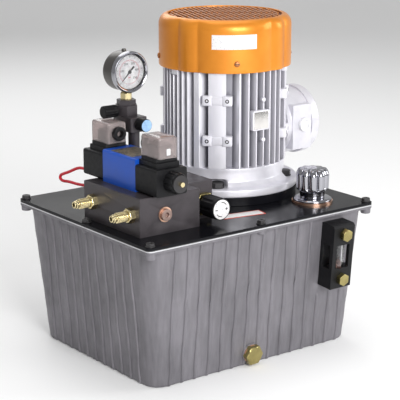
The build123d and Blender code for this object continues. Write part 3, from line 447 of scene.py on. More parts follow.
def softened(node, body="housing", width=0.4, angle=35):
    """The node's own shape with its edges eased: a merged copy of its mesh and a bevel."""
    source = NODES[node]
    mesh = source.data.copy()
    mesh.name = node + "_eased"
    work = bmesh.new()
    work.from_mesh(mesh)
    bmesh.ops.remove_doubles(work, verts=work.verts, dist=2e-6)
    bmesh.ops.dissolve_limit(work, angle_limit=math.radians(0.5), verts=work.verts, edges=work.edges)
    work.to_mesh(mesh)
    work.free()
    mesh.polygons.foreach_set("use_smooth", np.ones(len(mesh.polygons), bool))
    mesh.set_sharp_from_angle(angle=math.radians(angle))
    look = source.material_slots[0].material
    mesh.materials.clear()
    slot = next(k for k, v in LOOK.items() if v.material is look)
    obj = placed_piece(node + "_eased", mesh, LOOK[slot], body, node)
    bevel = obj.modifiers.new("eased_edges", "BEVEL")
    bevel.width, bevel.segments, bevel.limit_method = width * MM, 2, "ANGLE"
    bevel.angle_limit = math.radians(angle)
    bevel.use_clamp_overlap = True
    return obj


def span_of(node):
    """Lowest and highest corner of a node, in millimetres."""
    low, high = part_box(node)
    return np.array(low) / MM, np.array(high) / MM


# ---- red lead -----------------------------------------------------------------------------
def red_lead():
    """Lead looped between the rear coil and the manifold, along listed points in one plane."""
    x = -0.147
    route = [
        (0.0425, 0.2490), (0.0540, 0.2490), (0.0680, 0.2442), (0.0830, 0.2374), (0.0960, 0.2326),
        (0.1044, 0.2292), (0.1064, 0.2242), (0.0990, 0.2218), (0.0840, 0.2242), (0.0620, 0.2246),
        (0.0420, 0.2270), (0.0300, 0.2274), (0.0170, 0.2274),
    ]
    curve = bpy.data.curves.new("red_lead_loop", "CURVE")
    curve.dimensions = "3D"
    curve.bevel_depth, curve.bevel_resolution, curve.resolution_u = 0.002, 5, 10
    curve.use_fill_caps = True
    spline = curve.splines.new("NURBS")
    spline.points.add(len(route) - 1)
    for point, (y, z) in zip(spline.points, route):
        point.co = (x, y, z, 1)
    spline.order_u = 3
    spline.use_endpoint_u = True
    lead = bpy.data.objects.new("red_lead_loop", curve)
    bpy.context.scene.collection.objects.link(lead)
    curve.materials.append(LOOK["red_sheath"].material)
    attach(lead, "housing")
    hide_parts("red_lead")


red_lead()


# ---- tank ---------------------------------------------------------------------------------
RIM_X, RIM_Y, TANK_TOP = span_of("tank_gasket")[1]
TANK_TOP -= 1.0                       # the gasket is 1 mm thick
PLATE_TOP = span_of("top_plate")[1][2]
WALL_IN, LEAN = 6.7, 15.3             # wall in from the rim, and its lean over the whole height
RIB_PITCH = 20.0
LEAN_ANGLE = math.degrees(math.atan(LEAN / TANK_TOP))


def wall_y(z):
    """Face of the front wall at height z."""
    return -(RIM_Y - WALL_IN - LEAN * (1 - z / TANK_TOP))


def on_wall(solid, x, z):
    """A solid built with local -Y outwards, leaned with the front wall and moved onto it."""
    a = math.radians(LEAN_ANGLE)
    lean = np.array([[1, 0, 0], [0, math.cos(a), math.sin(a)], [0, -math.sin(a), math.cos(a)]])
    return solid[0] @ lean + np.array([x, wall_y(z), z]), solid[1]


def screw_spots():
    """Plate screws: four corners, then four mid sides a little off centre."""
    x, y = RIM_X - 7.5, RIM_Y - 7.5
    return [(sx * x, sy * y) for sx in (-1, 1) for sy in (-1, 1)], [(-5, -y), (-5, y), (-x, -5), (x, -5)]


PANEL_TOP = 76.0                      # top of the raised panel under the sight gauge


def rib_height(across, low, high):
    """Half-round ribs at each pitch, 1.9 mm tall, from `low` to `high` along a wall."""
    nearest = np.round(across / RIB_PITCH) * RIB_PITCH
    rib = 1.9 * np.sqrt(np.clip(1 - ((across - nearest) / 2.0) ** 2, 0, 1))
    return rib * ((nearest >= low - 1) & (nearest <= high + 1))


def rib_stops(count):
    """Places along a wall, close together over each rib and far apart between them."""
    local = np.array([-10, -5, -2.6, -2.05, -1.95, -1.6, -0.9, 0, 0.9, 1.6, 1.95, 2.05, 2.6, 5])
    return (np.arange(-count, count + 1)[:, None] * RIB_PITCH + local[None, :]).ravel()


def walls(half_x, half_y, radius):
    """Rounded rectangles, one per row, whose straight runs carry the rib stops of each wall."""
    corners = outline(half_x, half_y, radius, 9, 0, 0)
    rows = len(corners)
    long_run, short_run = rib_stops(7)[1:], rib_stops(5)[1:]
    limit_x, limit_y = (half_x - radius)[:, None] - 0.2, (half_y - radius)[:, None] - 0.2
    along = np.clip(np.broadcast_to(long_run, (rows, len(long_run))), -limit_x, limit_x)
    across = np.clip(np.broadcast_to(short_run, (rows, len(short_run))), -limit_y, limit_y)
    top, left = half_y[:, None] + 0 * along, half_x[:, None] + 0 * across
    runs = [np.stack([along[:, ::-1], top], -1), np.stack([-left, across[:, ::-1]], -1),
            np.stack([along, -top], -1), np.stack([left, across], -1)]
    return np.concatenate([p for k in range(4) for p in (corners[:, 9 * k:9 * k + 9], runs[k])], 1)


def cast_tank():
    """Rounded rectangle whose half sizes shrink by the lean towards the base; ribs, a faint cast
    waviness and a low raised panel push it out along its normal; the last rows turn in over the rim
    and go down the inside to the floor."""
    z = np.concatenate([[0, 0.8, 2.5], np.linspace(6, 178, 56), [181, 183, 184.2]])
    base_in = np.concatenate([[2.5, 0.8, 0], np.zeros(59)])
    lean = WALL_IN + LEAN * (1 - z / TANK_TOP) + base_in
    flare = np.clip((z - 180.5) / 3.7, 0, 1) ** 2 * 2.5
    half_x, half_y, radius = RIM_X - lean + flare, RIM_Y - lean + flare, 20 + 2 * z / TANK_TOP
    flat = walls(half_x, half_y, radius)
    x, y = flat[..., 0], flat[..., 1]
    core = np.stack([half_x - radius, half_y - radius], -1)[:, None, :]
    normal = flat - np.clip(flat, -core, core)
    normal /= np.linalg.norm(normal, axis=-1, keepdims=True)
    zz = z[:, None] + 0 * x
    long_side = np.abs(normal[..., 1]) > 0.9999
    short_side = np.abs(normal[..., 0]) > 0.9999
    push = long_side * rib_height(x, -140, np.where((y < 0) & (zz > PANEL_TOP), 81, 141))
    push += short_side * rib_height(y, -101, 101)
    push *= np.clip((184 - zz) / 3, 0, 1)
    push += 0.22 * np.sin(x / 17 + zz / 13) * np.sin(y / 19 - zz / 29)
    push += 0.15 * np.sin(zz / 5.1 + x / 8 + y / 7)
    push += 0.6 * ((x > 95) & (zz < PANEL_TOP) & (y < 0) & long_side)
    flat = flat + normal * push[..., None]
    wander = 0.8 * np.sin(zz / 23 + (x + y) // RIB_PITCH * 1.7) + 0.3 * np.sin(zz / 9)
    wander *= np.clip((zz - 3) / 12, 0, 1)
    flat[..., 0] += wander * long_side * np.clip((182 - zz) / 12, 0, 1)
    flat[..., 1] += wander * short_side * np.clip((182 - zz) / 12, 0, 1)
    wall = np.concatenate([flat, zz[..., None]], -1)
    inner = WALL_IN + 5
    step_in = np.array([0.4, 0, 0, 0.4, 0.6, inner, inner + LEAN * 0.96])
    rim = walls(RIM_X - step_in, RIM_Y - step_in, np.array([6.1, 6.5, 6.5, 6.1, 6, 20, 20]))
    heights = np.array([184.2, 184.8, 187.0, 187.2, TANK_TOP, TANK_TOP, 6])[:, None, None]
    rim = np.concatenate([rim, np.broadcast_to(heights, rim.shape[:2] + (1,))], -1)
    parts = [tube_of(np.concatenate([wall, rim]))]
    corners, mids = screw_spots()
    for x, y in corners:
        lug = lathe([(1, 0), (6.6, 0), (7.1, 11.5), (1, 11.5)], 1.6, 28)
        parts.append(moved(lug, (x, y, TANK_TOP - 12)))
    for x, y in mids:
        lug = lathe([(1, 0), (6.0, 0), (6.5, 9.5), (1, 9.5)], 2.5, 28)
        parts.append(moved(lug, (x, y, TANK_TOP - 10)))
    boss = aimed(lathe([(1, -4), (14.4, -4), (13.8, 2.4), (9, 2.4)], 0.8, 48), "-y")
    parts.append(on_wall(boss, *DRAIN_AT))
    make("cast_tank", joined(*parts), LOOK["cast_aluminium"], instead="tank", crease=50)


DRAIN_LOW, DRAIN_HIGH = span_of("drain_plug")
DRAIN_AT = ((DRAIN_LOW[0] + DRAIN_HIGH[0]) / 2, (DRAIN_LOW[2] + DRAIN_HIGH[2]) / 2 + 0.6)
cast_tank()


def rim_edge_highlight():
    """Bright band, 1.8 mm tall, round the top of the rim: a painted highlight on the rim's edge."""
    z = TANK_TOP - np.array([1.75, 1.55, 0.25, 0.02, 0.02, 1.75])
    step_in = np.array([0.25, 0, 0, 0.25, 1.6, 1.6])
    edge = walls(RIM_X - step_in, RIM_Y - step_in, np.full(6, 6.5) - step_in)
    edge = np.concatenate([edge, np.broadcast_to(z[:, None, None], edge.shape[:2] + (1,))], -1)
    band = tube_of(np.concatenate([edge, edge[:1]]), caps=False)
    make("rim_edge_highlight", band, RIM_HIGHLIGHT)


rim_edge_highlight()


def tank_fasteners():
    """Hex head on a thin washer at each plate screw, and the drain plug's big hexagon."""
    heads = []
    for k, (x, y) in enumerate(sum(screw_spots(), [])):
        head = joined(lathe([(1, 0), (6.2, 0), (6.2, 1.1), (1, 1.1)], 0.4, 40),
                      moved(hex_head(10, 4.0, 17 * k, socket=2.2), (0, 0, 1.0)),
                      lathe([(0.5, -10), (2.4, -10), (2.4, 0.5), (0.5, 0.5)], 0.2, 16))
        heads.append(moved(head, (x, y, PLATE_TOP)))
    make("plate_screw_heads", joined(*heads), LOOK["black_steel"], instead="plate_screws")
    plug = joined(moved(hex_head(24, 8.6), (0, 0, 2.5)),
                  lathe([(1, -8), (8, -8), (8, 3), (1, 3)], 0.3, 40))
    plug = on_wall(aimed(plug, "-y"), *DRAIN_AT)
    make("drain_hexagon", plug, LOOK["yellow_zinc"], instead="drain_plug")


tank_fasteners()
softened("top_plate", width=0.5)


# ---- motor --------------------------------------------------------------------------------
FRAME_LOW, FRAME_HIGH = span_of("motor_frame")
MOTOR = tuple((span_of("rotor_core")[0][:2] + span_of("rotor_core")[1][:2]) / 2)
COWL_LOW, COWL_HIGH = span_of("fan_cowl")
COWL_R = (COWL_HIGH[0] - COWL_LOW[0]) / 2
COWL_TURN = -118.0                    # direction of the first cowl screw and of the label panel


def about_motor(solid, z=0.0):
    """A solid built round Z, put on the motor's axis."""
    return moved(solid, (*MOTOR, z))


def lobe_dip(angle):
    """How far the cowl sinks: four broad panels and four narrow lobes meet in sharp creases."""
    local = (np.degrees(angle) - COWL_TURN + 45) % 90 - 45
    panel, lobe = 34.6, 45 - 34.6
    inside = np.abs(local) < panel
    return np.where(inside, 3.4 * (np.abs(local) / panel) ** 4, 3.4 * ((45 - np.abs(local)) / lobe) ** 2)


def fan_cowl():
    """Sheet shell round the motor axis: rolled lower lip, lobed side, round shoulder and a
    crisp round edge that turns down into the well of the grille; the wall grows inwards."""
    angle = ring_angles(360)[None, :]
    height = COWL_HIGH[2] - COWL_LOW[2]
    quarter = np.linspace(0, np.pi / 2, 11)[1:]
    side_r = [COWL_R - 1.2, COWL_R - 0.3, COWL_R] + [COWL_R] * 10
    side_z = [0, 0.2, 1.4] + list(np.linspace(5, height - 14, 10))
    shoulder_r = COWL_R - 11.7 + 11.7 * np.cos(quarter)
    shoulder_z = height - 14 + 14 * np.sin(quarter)
    r = np.concatenate([side_r, shoulder_r, [77.4, 77.0, 76.9, 76.9]])[:, None]
    z = np.concatenate([side_z, shoulder_z, height - np.array([0.05, 0.5, 1.5, 4.0])])[:, None]
    fade = np.clip((height - z) / 9.0, 0, 1) ** 0.7
    radius = r - lobe_dip(angle) * fade * (r > 77.5)
    points = np.stack([radius * np.cos(angle), radius * np.sin(angle), z + 0 * angle], -1)
    solid = about_motor(tube_of(points, caps=False), COWL_LOW[2])
    cowl = make("fan_cowl_shell", solid, LOOK["gold_paint"], instead="fan_cowl", crease=28, outward=False)
    wall = cowl.modifiers.new("sheet_thickness", "SOLIDIFY")
    wall.thickness, wall.offset = 1.3 * MM, -1
    return cowl


def cowl_grille():
    """Four rows of slanted bars, 36 mm apart, across a dark round pan (painted shade for the openings) let
    into the cowl's top; each bar leans 10 mm over its 31 mm and stops inside the edge."""
    height = COWL_HIGH[2] - COWL_LOW[2]
    floor_z = height - 3.4
    # painted shade: the dark pan under the bars
    pan = lathe([(0.5, floor_z - 1), (77.6, floor_z - 1), (77.6, floor_z), (0.5, floor_z)], 0.2, 96)
    make("grille_pan", about_motor(pan, COWL_LOW[2]), PAN_SHADE)
    bars = []
    for row in range(4):
        for k in range(-11, 12):
            t = np.linspace(-1, 1, 41)
            u = k * 7.4 + (row % 2) * 3.7 + 5 * t
            v = (row - 1.5) * 36 - 15.5 * t
            inside = np.flatnonzero(np.hypot(u, v) < 74.5)
            if len(inside) < 8:
                continue
            one, two = inside[0], inside[-1]
            length = math.hypot(u[two] - u[one], v[two] - v[one])
            lean = math.degrees(math.atan2(v[two] - v[one], u[two] - u[one]))
            bar = soft_box((-length / 2, -1.7, height - 3.8), (length / 2, 1.7, height - 0.3), 1.6, 0.7)
            middle = ((u[one] + u[two]) / 2, (v[one] + v[two]) / 2, 0)
            bars.append(moved(turned(bar, lean), middle))
    solid = about_motor(turned(joined(*bars), -37), COWL_LOW[2])
    make("grille_bars", solid, SHADED_GOLD)


fan_cowl()
cowl_grille()


def fin_outline():
    """Section of the frame as one closed line of points round the axis: square-tipped parallel
    fins on each side, a broad rib at each end of the close-set sides, a smooth band on each
    diagonal, and the round core between them."""
    tip, core = 84.0, 71.5
    wide = [11.5 * k for k in range(-3, 4)]
    close = [4.5 + 9 * k for k in range(-3, 3)]
    sides = ((-90, wide, []), (0, close, [-36, 36]), (90, wide, []), (180, close, [-36, 36]))
    points = []
    for direction, fins, ribs in sides:
        spans = sorted([(x - 1.2, x + 1.2) for x in fins] + [(x - 4, x + 4) for x in ribs])
        spans = [(-66, -50.0)] + spans + [(50.0, 66)]
        line = []
        for (a, b), (c, _) in zip(spans, spans[1:] + [(None, None)]):
            if a > -60:
                line += [(a - 0.25, core), (a, core + 1.2), (a, tip - 0.8), (a + 0.5, tip)]
            if a > -60 and b < 60:
                line += [((a + b) / 2, tip), (b - 0.5, tip), (b, tip - 0.8), (b, core + 1.2),
                         (b + 0.25, core)]
            if a < -60:
                line += [(b - 0.5, tip), (b, tip - 0.8), (b, core + 1.2), (b + 0.25, core)]
            if c is not None:
                line += [((b + c) / 2, core)]
        line = np.array(line)
        across, reach = line[:, 0], line[:, 1]
        outward = np.sqrt(np.maximum(reach ** 2 - across ** 2, 1))
        a = math.radians(direction)
        points.append(np.stack([outward * math.cos(a) - across * math.sin(a),
                                outward * math.sin(a) + across * math.cos(a)], -1))
        band = np.radians(np.linspace(direction + 37.4, direction + 52.6, 7)[1:-1])
        points.append(tip * np.stack([np.cos(band), np.sin(band)], -1))
    return np.concatenate(points)


def finned_frame():
    """The fin section carried up the axis, drawn in a little at both ends, round a plain bore."""
    section = fin_outline()
    z0, z1 = FRAME_LOW[2], FRAME_HIGH[2]
    z = np.array([z0, z0 + 0.8, z1 - 0.8, z1])[:, None]
    shrink = np.array([0.99, 1, 1, 0.99])[:, None, None]
    rings = np.concatenate([section[None] * shrink, np.broadcast_to(z[..., None], (4, len(section), 1))], -1)
    bearing = np.arctan2(section[:, 1], section[:, 0])
    bore = np.stack([62 * np.cos(bearing), 62 * np.sin(bearing)], -1)
    bore_z = np.array([z1, z0])[:, None, None] + 0 * bore[None, :, :1]
    inner = np.concatenate([np.stack([bore, bore]), bore_z], -1)
    loop = np.concatenate([rings, inner, rings[:1]])
    body = about_motor(tube_of(loop, caps=False))
    parts = [body]
    for k, z in [(k, z) for k in range(4) for z in (278.0, 332.0)]:
        bar = soft_box((80, -9, z - 5.5), (85.2, 9, z + 5.5), 1.2, 1.0, "z")
        ears = [soft_box((76, y - 6.3, z - 6.8), (86.2, y + 6.3, z + 6.8), 1.5, 1.3, "x")
                for y in (-13.5, 13.5)]
        parts.append(turned(about_motor(joined(bar, *ears)), 45 + 90 * k, MOTOR))
    plate = soft_box((-20, -86, 290.5), (8, -78, 317.5), 2.5, 0.8, "-y")
    rivets = [aimed(lathe([(1, 0), (3.2, 0), (3.2, 5), (1, 5.6)], 1.2, 20), "-y", (x, -80.5, z))
              for x, z in ((-1, 331), (-1, 277))]
    seat = soft_box((70, -26, 250), (83.8, 26, 306), 3, 1, "z")
    feet = [turned(soft_box((74, -7, 362), (85.6, 7, 371.5), 2, 1, "z"), k) for k in (180, 310, 60, 120)]
    parts.append(about_motor(joined(plate, *rivets, seat, *feet)))
    # frame paint with painted shade in the recesses between the fins
    finish = recess_shaded_enamel(MOTOR, 73, 81)
    make("finned_frame", joined(*parts), finish, "housing", "motor_frame", 30)


finned_frame()


def pad_screws():
    """Small dark hexagon socket screws in the frame's mounting ears."""
    screws = []
    for k, z, s in [(k, z, s) for k in range(4) for z in (278.0, 332.0) for s in (-1, 1)]:
        screw = lathe([(2.7, -4), (2.7, 0.45), (1.3, 0.45), (1.2, -1.5)], 0.25, 20)
        screw = aimed(screw, "x", (86.0, s * 13.5, z))
        screws.append(turned(about_motor(screw), 45 + 90 * k, MOTOR))
    make("pad_screws", joined(*screws), LOOK["black_steel"])


pad_screws()
FLANGE_Z = span_of("bell_housing")[1][2]
BOLT_CIRCLE = 82.5


def drive_end_shield():
    """Flange and skirt as one turned profile with a concave fillet; over each bolt the skirt sinks
    into a smooth pocket."""
    top = FLANGE_Z + 10.3
    profile = eased([(64.9, FLANGE_Z - 3.5), (64.9, FLANGE_Z), (100, FLANGE_Z), (100, top - 0.6),
                     (97.5, top), (93, top), (87, top + 2), (83.4, top + 6), (82.4, 222), (82.2, 224.5),
                     (82.1, 227), (82, 234), (82.4, 238), (82.4, 240), (66, 240), (66, 227)], 1.8, 5)
    angle = ring_angles(288)[None, :]
    r, z = profile[:, :1] + 0 * angle, profile[:, 1:] + 0 * angle
    local = (np.degrees(angle) % 90) - 45
    pocket = np.clip(1.35 - (local / 8.0) ** 2, 0, 1) * (z > top - 0.1) * np.clip((226.5 - z) / 4, 0, 1)
    r = np.where(r > 66.5, np.minimum(r, np.maximum(82.5 - 10.8 * pocket, r - 26 * pocket)), r)
    rings = np.stack([r * np.cos(angle), r * np.sin(angle), z], -1)
    inner = np.array([[26, 227], [26, 212.5], [13.6, 212.3], [13.6, FLANGE_Z - 3.5]])
    bore_r, bore_z = inner[:, :1], inner[:, 1:] + 0 * angle
    bore = np.stack([bore_r * np.cos(angle), bore_r * np.sin(angle), bore_z], -1)
    body = tube_of(np.concatenate([rings, bore, rings[:1]]), caps=False)
    make("drive_end_shield", about_motor(body), LOOK["silver_paint"], instead="motor_flange", crease=35)
    bolts = []
    for k in range(4):
        a = math.radians(45 + 90 * k)
        bolt = joined(lathe([(4, 0), (9.8, 0), (9.8, 1.4), (4, 1.4)], 0.4, 40),
                      moved(hex_head(17, 6.4, 20), (0, 0, 1.3)),
                      lathe([(1, -20), (4.2, -20), (4.2, 1), (1, 1)], 0.2, 24))
        bolts.append(about_motor(moved(bolt, (BOLT_CIRCLE * math.cos(a), BOLT_CIRCLE * math.sin(a), top))))
    make("flange_bolts", joined(*bolts), LOOK["black_steel"], instead="motor_bolts")


drive_end_shield()
softened("bell_housing", width=0.6)
softened("terminal_box", width=0.8)
softened("terminal_cover", width=0.5)
softened("cable_plug", width=0.5)


def cover_screws():
    """Slotted pan heads: four round the cowl, four on the terminal cover."""
    pan = lathe([(1, 0), (3.9, 0), (3.5, 1.9), (1, 2.4)], 0.8, 32)
    shank = lathe([(0.5, -9), (1.9, -9), (1.9, 0.5), (0.5, 0.5)], 0.2, 16)
    slot = soft_box((-2.8, -0.45, 1.4), (2.8, 0.45, 2.42), 0.2, 0.1)
    dark, heads, painted_heads = [], [], []
    cover_low, cover_high = span_of("terminal_cover")
    for k in range(4):
        at = (COWL_R + 0.1, 0, 381.5)
        head = turned(about_motor(aimed(joined(pan, shank), "x", at)), COWL_TURN + 90 * k, MOTOR)
        painted_heads.append(head)
        dark.append(turned(about_motor(aimed(slot, "x", at)), COWL_TURN + 90 * k, MOTOR))
        a = math.radians(45 + 90 * k)
        at = (cover_high[0], (cover_low[1] + cover_high[1]) / 2 + 39.5 * math.cos(a),
              (cover_low[2] + cover_high[2]) / 2 + 39.5 * math.sin(a))
        heads.append(aimed(joined(pan, shank), "x", at))
        dark.append(aimed(slot, "x", at))
    make("pan_heads", joined(*heads), LOOK["zinc_steel"], instead="cover_screws")
    make("cowl_pan_heads", joined(*painted_heads), SHADED_GOLD)
    make("pan_slots", joined(*dark), LOOK["black_steel"])


cover_screws()


# ---- cowl and frame labels ----------------------------------------------------------------
def cowl_label():
    """Blank printed strip that follows the cowl's front panel, 60 by 19 mm."""
    angle = np.radians(COWL_TURN - 2 + np.linspace(-19.3, 19.3, 25))[None, :]
    z = np.array([400.5, 400.5, 419.5, 419.5])[:, None]
    off = np.array([-0.4, 0.25, 0.25, -0.4])[:, None]
    r = COWL_R - lobe_dip(angle) + off
    outer = np.stack([r * np.cos(angle), r * np.sin(angle), z + 0 * angle], -1)
    grid, faces = tube_of(outer.transpose(1, 0, 2))
    make("cowl_label", about_motor((grid, faces)), LABEL)


def rating_plate():
    """Thin blank plate on the pad of the frame."""
    plate = soft_box((-18, -86.35, 292.5), (6, -85.9, 315.5), 1.2, 0.15, "-y")
    make("rating_plate", about_motor(plate), LOOK["zinc_steel"])


def plate_label():
    """Strip with a red border on the top plate, partly behind the relief knob."""
    border = soft_box((-31, -10, 0), (31, 10, 0.25), 1, 0.1)
    field = soft_box((-29, -8, 0.1), (29, 8, 0.4), 0.8, 0.1)
    at = (2, -97, PLATE_TOP)
    make("plate_label_border", moved(turned(border, -10), at), LABEL_RED)
    make("plate_label_field", moved(turned(field, -10), at), LABEL)


cowl_label()
rating_plate()
plate_label()


# ---- breather -----------------------------------------------------------------------------
def breather():
    """Chrome cap turned about its own axis: a plain neck, then ten rounded lobes with sharp
    valleys that fade into the crown; under it a chrome ring."""
    low, high = span_of("breather_cap")
    x, y = (low[:2] + high[:2]) / 2
    top = high[2]

    def lobed(angle, r, z):
        """Radius with ten lobes, from just over the neck up to the crown."""
        rise = np.clip((z - (low[2] + 11)) / 2.5, 0, 1) * np.clip((r - 6) / 12, 0, 1)
        return r - rise * 4.2 * (1 - np.abs(np.sin(5 * angle + 0.3)) ** 0.55)

    cap = [(14.85, low[2]), (16.6, low[2]), (17, low[2] + 9), (22.3, low[2] + 11.5), (22.8, top - 8),
           (19.5, top - 1.8), (10, top - 0.2), (0.6, top)]
    profile = dense(eased(cap, 2.2, 6), 1.4)
    bore = np.array([(0.6, low[2] + 10.4), (14.85, low[2] + 10.4), (14.85, low[2])])
    solid = turned_profile(np.concatenate([profile, bore]), 200, lobed)
    make("lobed_breather_cap", moved(solid, (x, y, 0)), LOOK["chrome"], "breather_cap", "breather_cap",
         crease=40)
    z = PLATE_TOP + 2.5
    ring = [(14.6, z), (26.2, z), (26.2, z + 2.2), (23.5, z + 4), (15.5, z + 4), (14.4, z + 14.2),
            (12.6, z + 14.2), (12.6, z - 43), (14.4, z - 43), (14.6, z)]
    make("breather_ring", moved(lathe(ring, 0.7, 72), (x, y, 0)), LOOK["chrome"], instead="breather_base")


def dense(profile, step):
    """The same polyline with extra points, none more than `step` apart."""
    gap = np.linalg.norm(np.diff(profile, axis=0), axis=1)
    run = np.concatenate([[0], np.cumsum(gap)])
    stops = np.unique(np.concatenate([run, np.arange(0, run[-1], step)]))
    return np.stack([np.interp(stops, run, profile[:, 0]), np.interp(stops, run, profile[:, 1])], -1)


def turned_profile(profile, count, shape=None):
    """A ready (r, z) profile turned about Z."""
    angle = ring_angles(count)[None, :]
    r, z = profile[:, :1] + 0 * angle, profile[:, 1:] + 0 * angle
    r = r if shape is None else shape(angle, r, z)
    return tube_of(np.stack([r * np.cos(angle), r * np.sin(angle), z], -1))


breather()


# ---- gauge --------------------------------------------------------------------------------
GAUGE_LOW, GAUGE_HIGH = span_of("gauge_bezel")
GAUGE_AT = ((GAUGE_LOW[0] + GAUGE_HIGH[0]) / 2, (GAUGE_LOW[2] + GAUGE_HIGH[2]) / 2)
GAUGE_R, GAUGE_FACE = (GAUGE_HIGH[0] - GAUGE_LOW[0]) / 2, GAUGE_LOW[1]
DIAL_Y = span_of("gauge_dial")[0][1]
NEEDLE_Y = span_of("gauge_needle")[0][1]


def on_gauge(solid, y):
    """A solid built facing up local Z, turned to face the front at depth y on the gauge axis."""
    return aimed(solid, "-y", (GAUGE_AT[0], y, GAUGE_AT[1]))


def gauge_shell():
    """Polished bezel with a rolled front, thin black inner ring, and the deep grey case."""
    bezel = lathe([(22.9, -1.8), (22.9, -1.3), (24.6, -0.2), (25.6, 0), (27, -1.8), (27, -6.8),
                   (25.9, -7), (24.2, -7), (24.2, -5.2), (23.4, -5.2), (22.9, -1.8)], 0.6, 96, steps=5)
    make("bezel_ring", on_gauge(bezel, GAUGE_FACE), LOOK["chrome"], instead="gauge_bezel")
    line = lathe([(22.2, 0), (23.35, 0), (23.35, 3.2), (22.6, 3.2), (22.2, 0)], 0.2, 96)
    make("bezel_black_line", on_gauge(line, DIAL_Y), LOOK["black_plastic"])
    depth = span_of("gauge_case")[1][1] - GAUGE_FACE
    case = lathe([(23.6, -6.2), (25.8, -6.2), (25.8, 4 - depth), (22.5, -depth), (1, -depth), (1, 2 - depth),
                  (21.5, 2 - depth), (23.6, 4 - depth), (23.6, -6.2)], 1.5, 96)
    case = on_gauge(case, GAUGE_FACE)
    plug = lathe([(1, 0), (3, 0), (3, 3.2), (2.2, 4.6), (1, 4.6)], 0.8, 24)
    plug = moved(plug, (GAUGE_AT[0], GAUGE_FACE + 17, GAUGE_AT[1] + GAUGE_R - 2.6))
    make("gauge_can", joined(case, plug), LOOK["grey_case"], instead="gauge_case")


def numeral(text, size, at):
    """Outline of a plain number as a thin flat solid, centred on a place of the dial."""
    curve = bpy.data.curves.new("numeral", "FONT")
    curve.body, curve.size, curve.extrude = text, size, 0.04
    curve.align_x, curve.align_y = "CENTER", "CENTER"
    curve.resolution_u = 2
    obj = bpy.data.objects.new("numeral", curve)
    bpy.context.scene.collection.objects.link(obj)
    bpy.context.view_layer.update()
    mesh = obj.evaluated_get(bpy.context.evaluated_depsgraph_get()).to_mesh()
    points = np.array([v.co for v in mesh.vertices]) + np.array([*at, 0.05])
    faces = [np.array([tuple(p.vertices)]) for p in mesh.polygons]
    bpy.data.objects.remove(obj)
    return points, faces


def gauge_dial():
    """White disc with 51 strokes over 270 degrees, every fifth longer, a red inner scale, and
    plain numbers from 0 to 500."""
    disc = lathe([(1.3, -0.8), (23.6, -0.8), (23.6, 0), (1.3, 0), (1.3, -0.8)], 0.1, 72)
    make("dial_disc", on_gauge(disc, DIAL_Y), LOOK["white_dial"], instead="gauge_dial")
    black, red = [], []
    for k in range(51):
        a = math.radians(225 - 5.4 * k)
        c, s = math.cos(a), math.sin(a)
        long_black, wide_black, long_red = (3.4, 0.5, 2.2) if k % 5 == 0 else (1.8, 0.25, 1.2)
        for marks, outer, length, width in ((black, 21.6, long_black, wide_black),
                                            (red, 15.4, long_red, 0.35)):
            bar, faces = soft_box((outer - length, -width / 2, 0.01), (outer, width / 2, 0.1), 0.05, 0.02)
            bar = bar @ np.array([[c, s, 0], [-s, c, 0], [0, 0, 1]])
            marks.append((bar, faces))
        if k % 10 == 0:
            black.append(numeral(str(10 * k), 4.2, (11.6 * c, 11.6 * s)))
    red.append(numeral("bar", 3.4, (0, -7.0)))
    rim = lathe([(15.5, 0.01), (15.75, 0.01), (15.75, 0.08), (15.5, 0.08), (15.5, 0.01)], 0.02, 72)
    red.append(rim)
    make("dial_marks", on_gauge(joined(*black), DIAL_Y), MARK_DARK, outward=False)
    make("dial_red_scale", on_gauge(joined(*red), DIAL_Y), MARK_RED, outward=False)


def gauge_needle():
    """Pointer at zero: a long taper, a wide short tail and a domed hub on a thin pin."""
    reach = np.array([-9.5, -7, -3, 0, 8, 16.5, 17.3])
    half = np.array([1.15, 1.25, 0.7, 0.9, 0.6, 0.22, 0.05])
    z = np.array([0.0, 0.5])
    edge = np.stack([np.concatenate([reach, reach[::-1]]), np.concatenate([half, -half[::-1]])], -1)
    heights = np.broadcast_to(z[:, None, None], (2, 14, 1))
    rings = np.concatenate([np.broadcast_to(edge, (2, 14, 2)), heights], -1)
    arm = turned(tube_of(rings), 225)
    hub = lathe([(0.4, -9), (0.95, -9), (0.95, -0.2), (2.5, -0.2), (2.5, 0.8), (0.4, 1.2)], 0.4, 32)
    make("pointer", on_gauge(joined(arm, hub), NEEDLE_Y + 0.9), LOOK["black_steel"], "needle", "gauge_needle")


gauge_shell()
gauge_dial()
gauge_needle()


def gauge_support():
    """Brass hexagon and thread under the gauge; the cast parts below keep their own shape."""
    low, high = span_of("gauge_stem")
    x, y = (low[:2] + high[:2]) / 2
    stem = joined(lathe([(0.6, low[2]), (4.9, low[2]), (4.9, high[2]), (0.6, high[2])], 0.4, 40),
                  moved(hex_head(14, 9.4, 12), (0, 0, 338)))
    make("brass_stem", moved(stem, (x, y, 0)), LOOK["brass"], instead="gauge_stem")
    softened("gauge_block", width=0.8)
    softened("gauge_adaptor", width=0.7)


gauge_support()


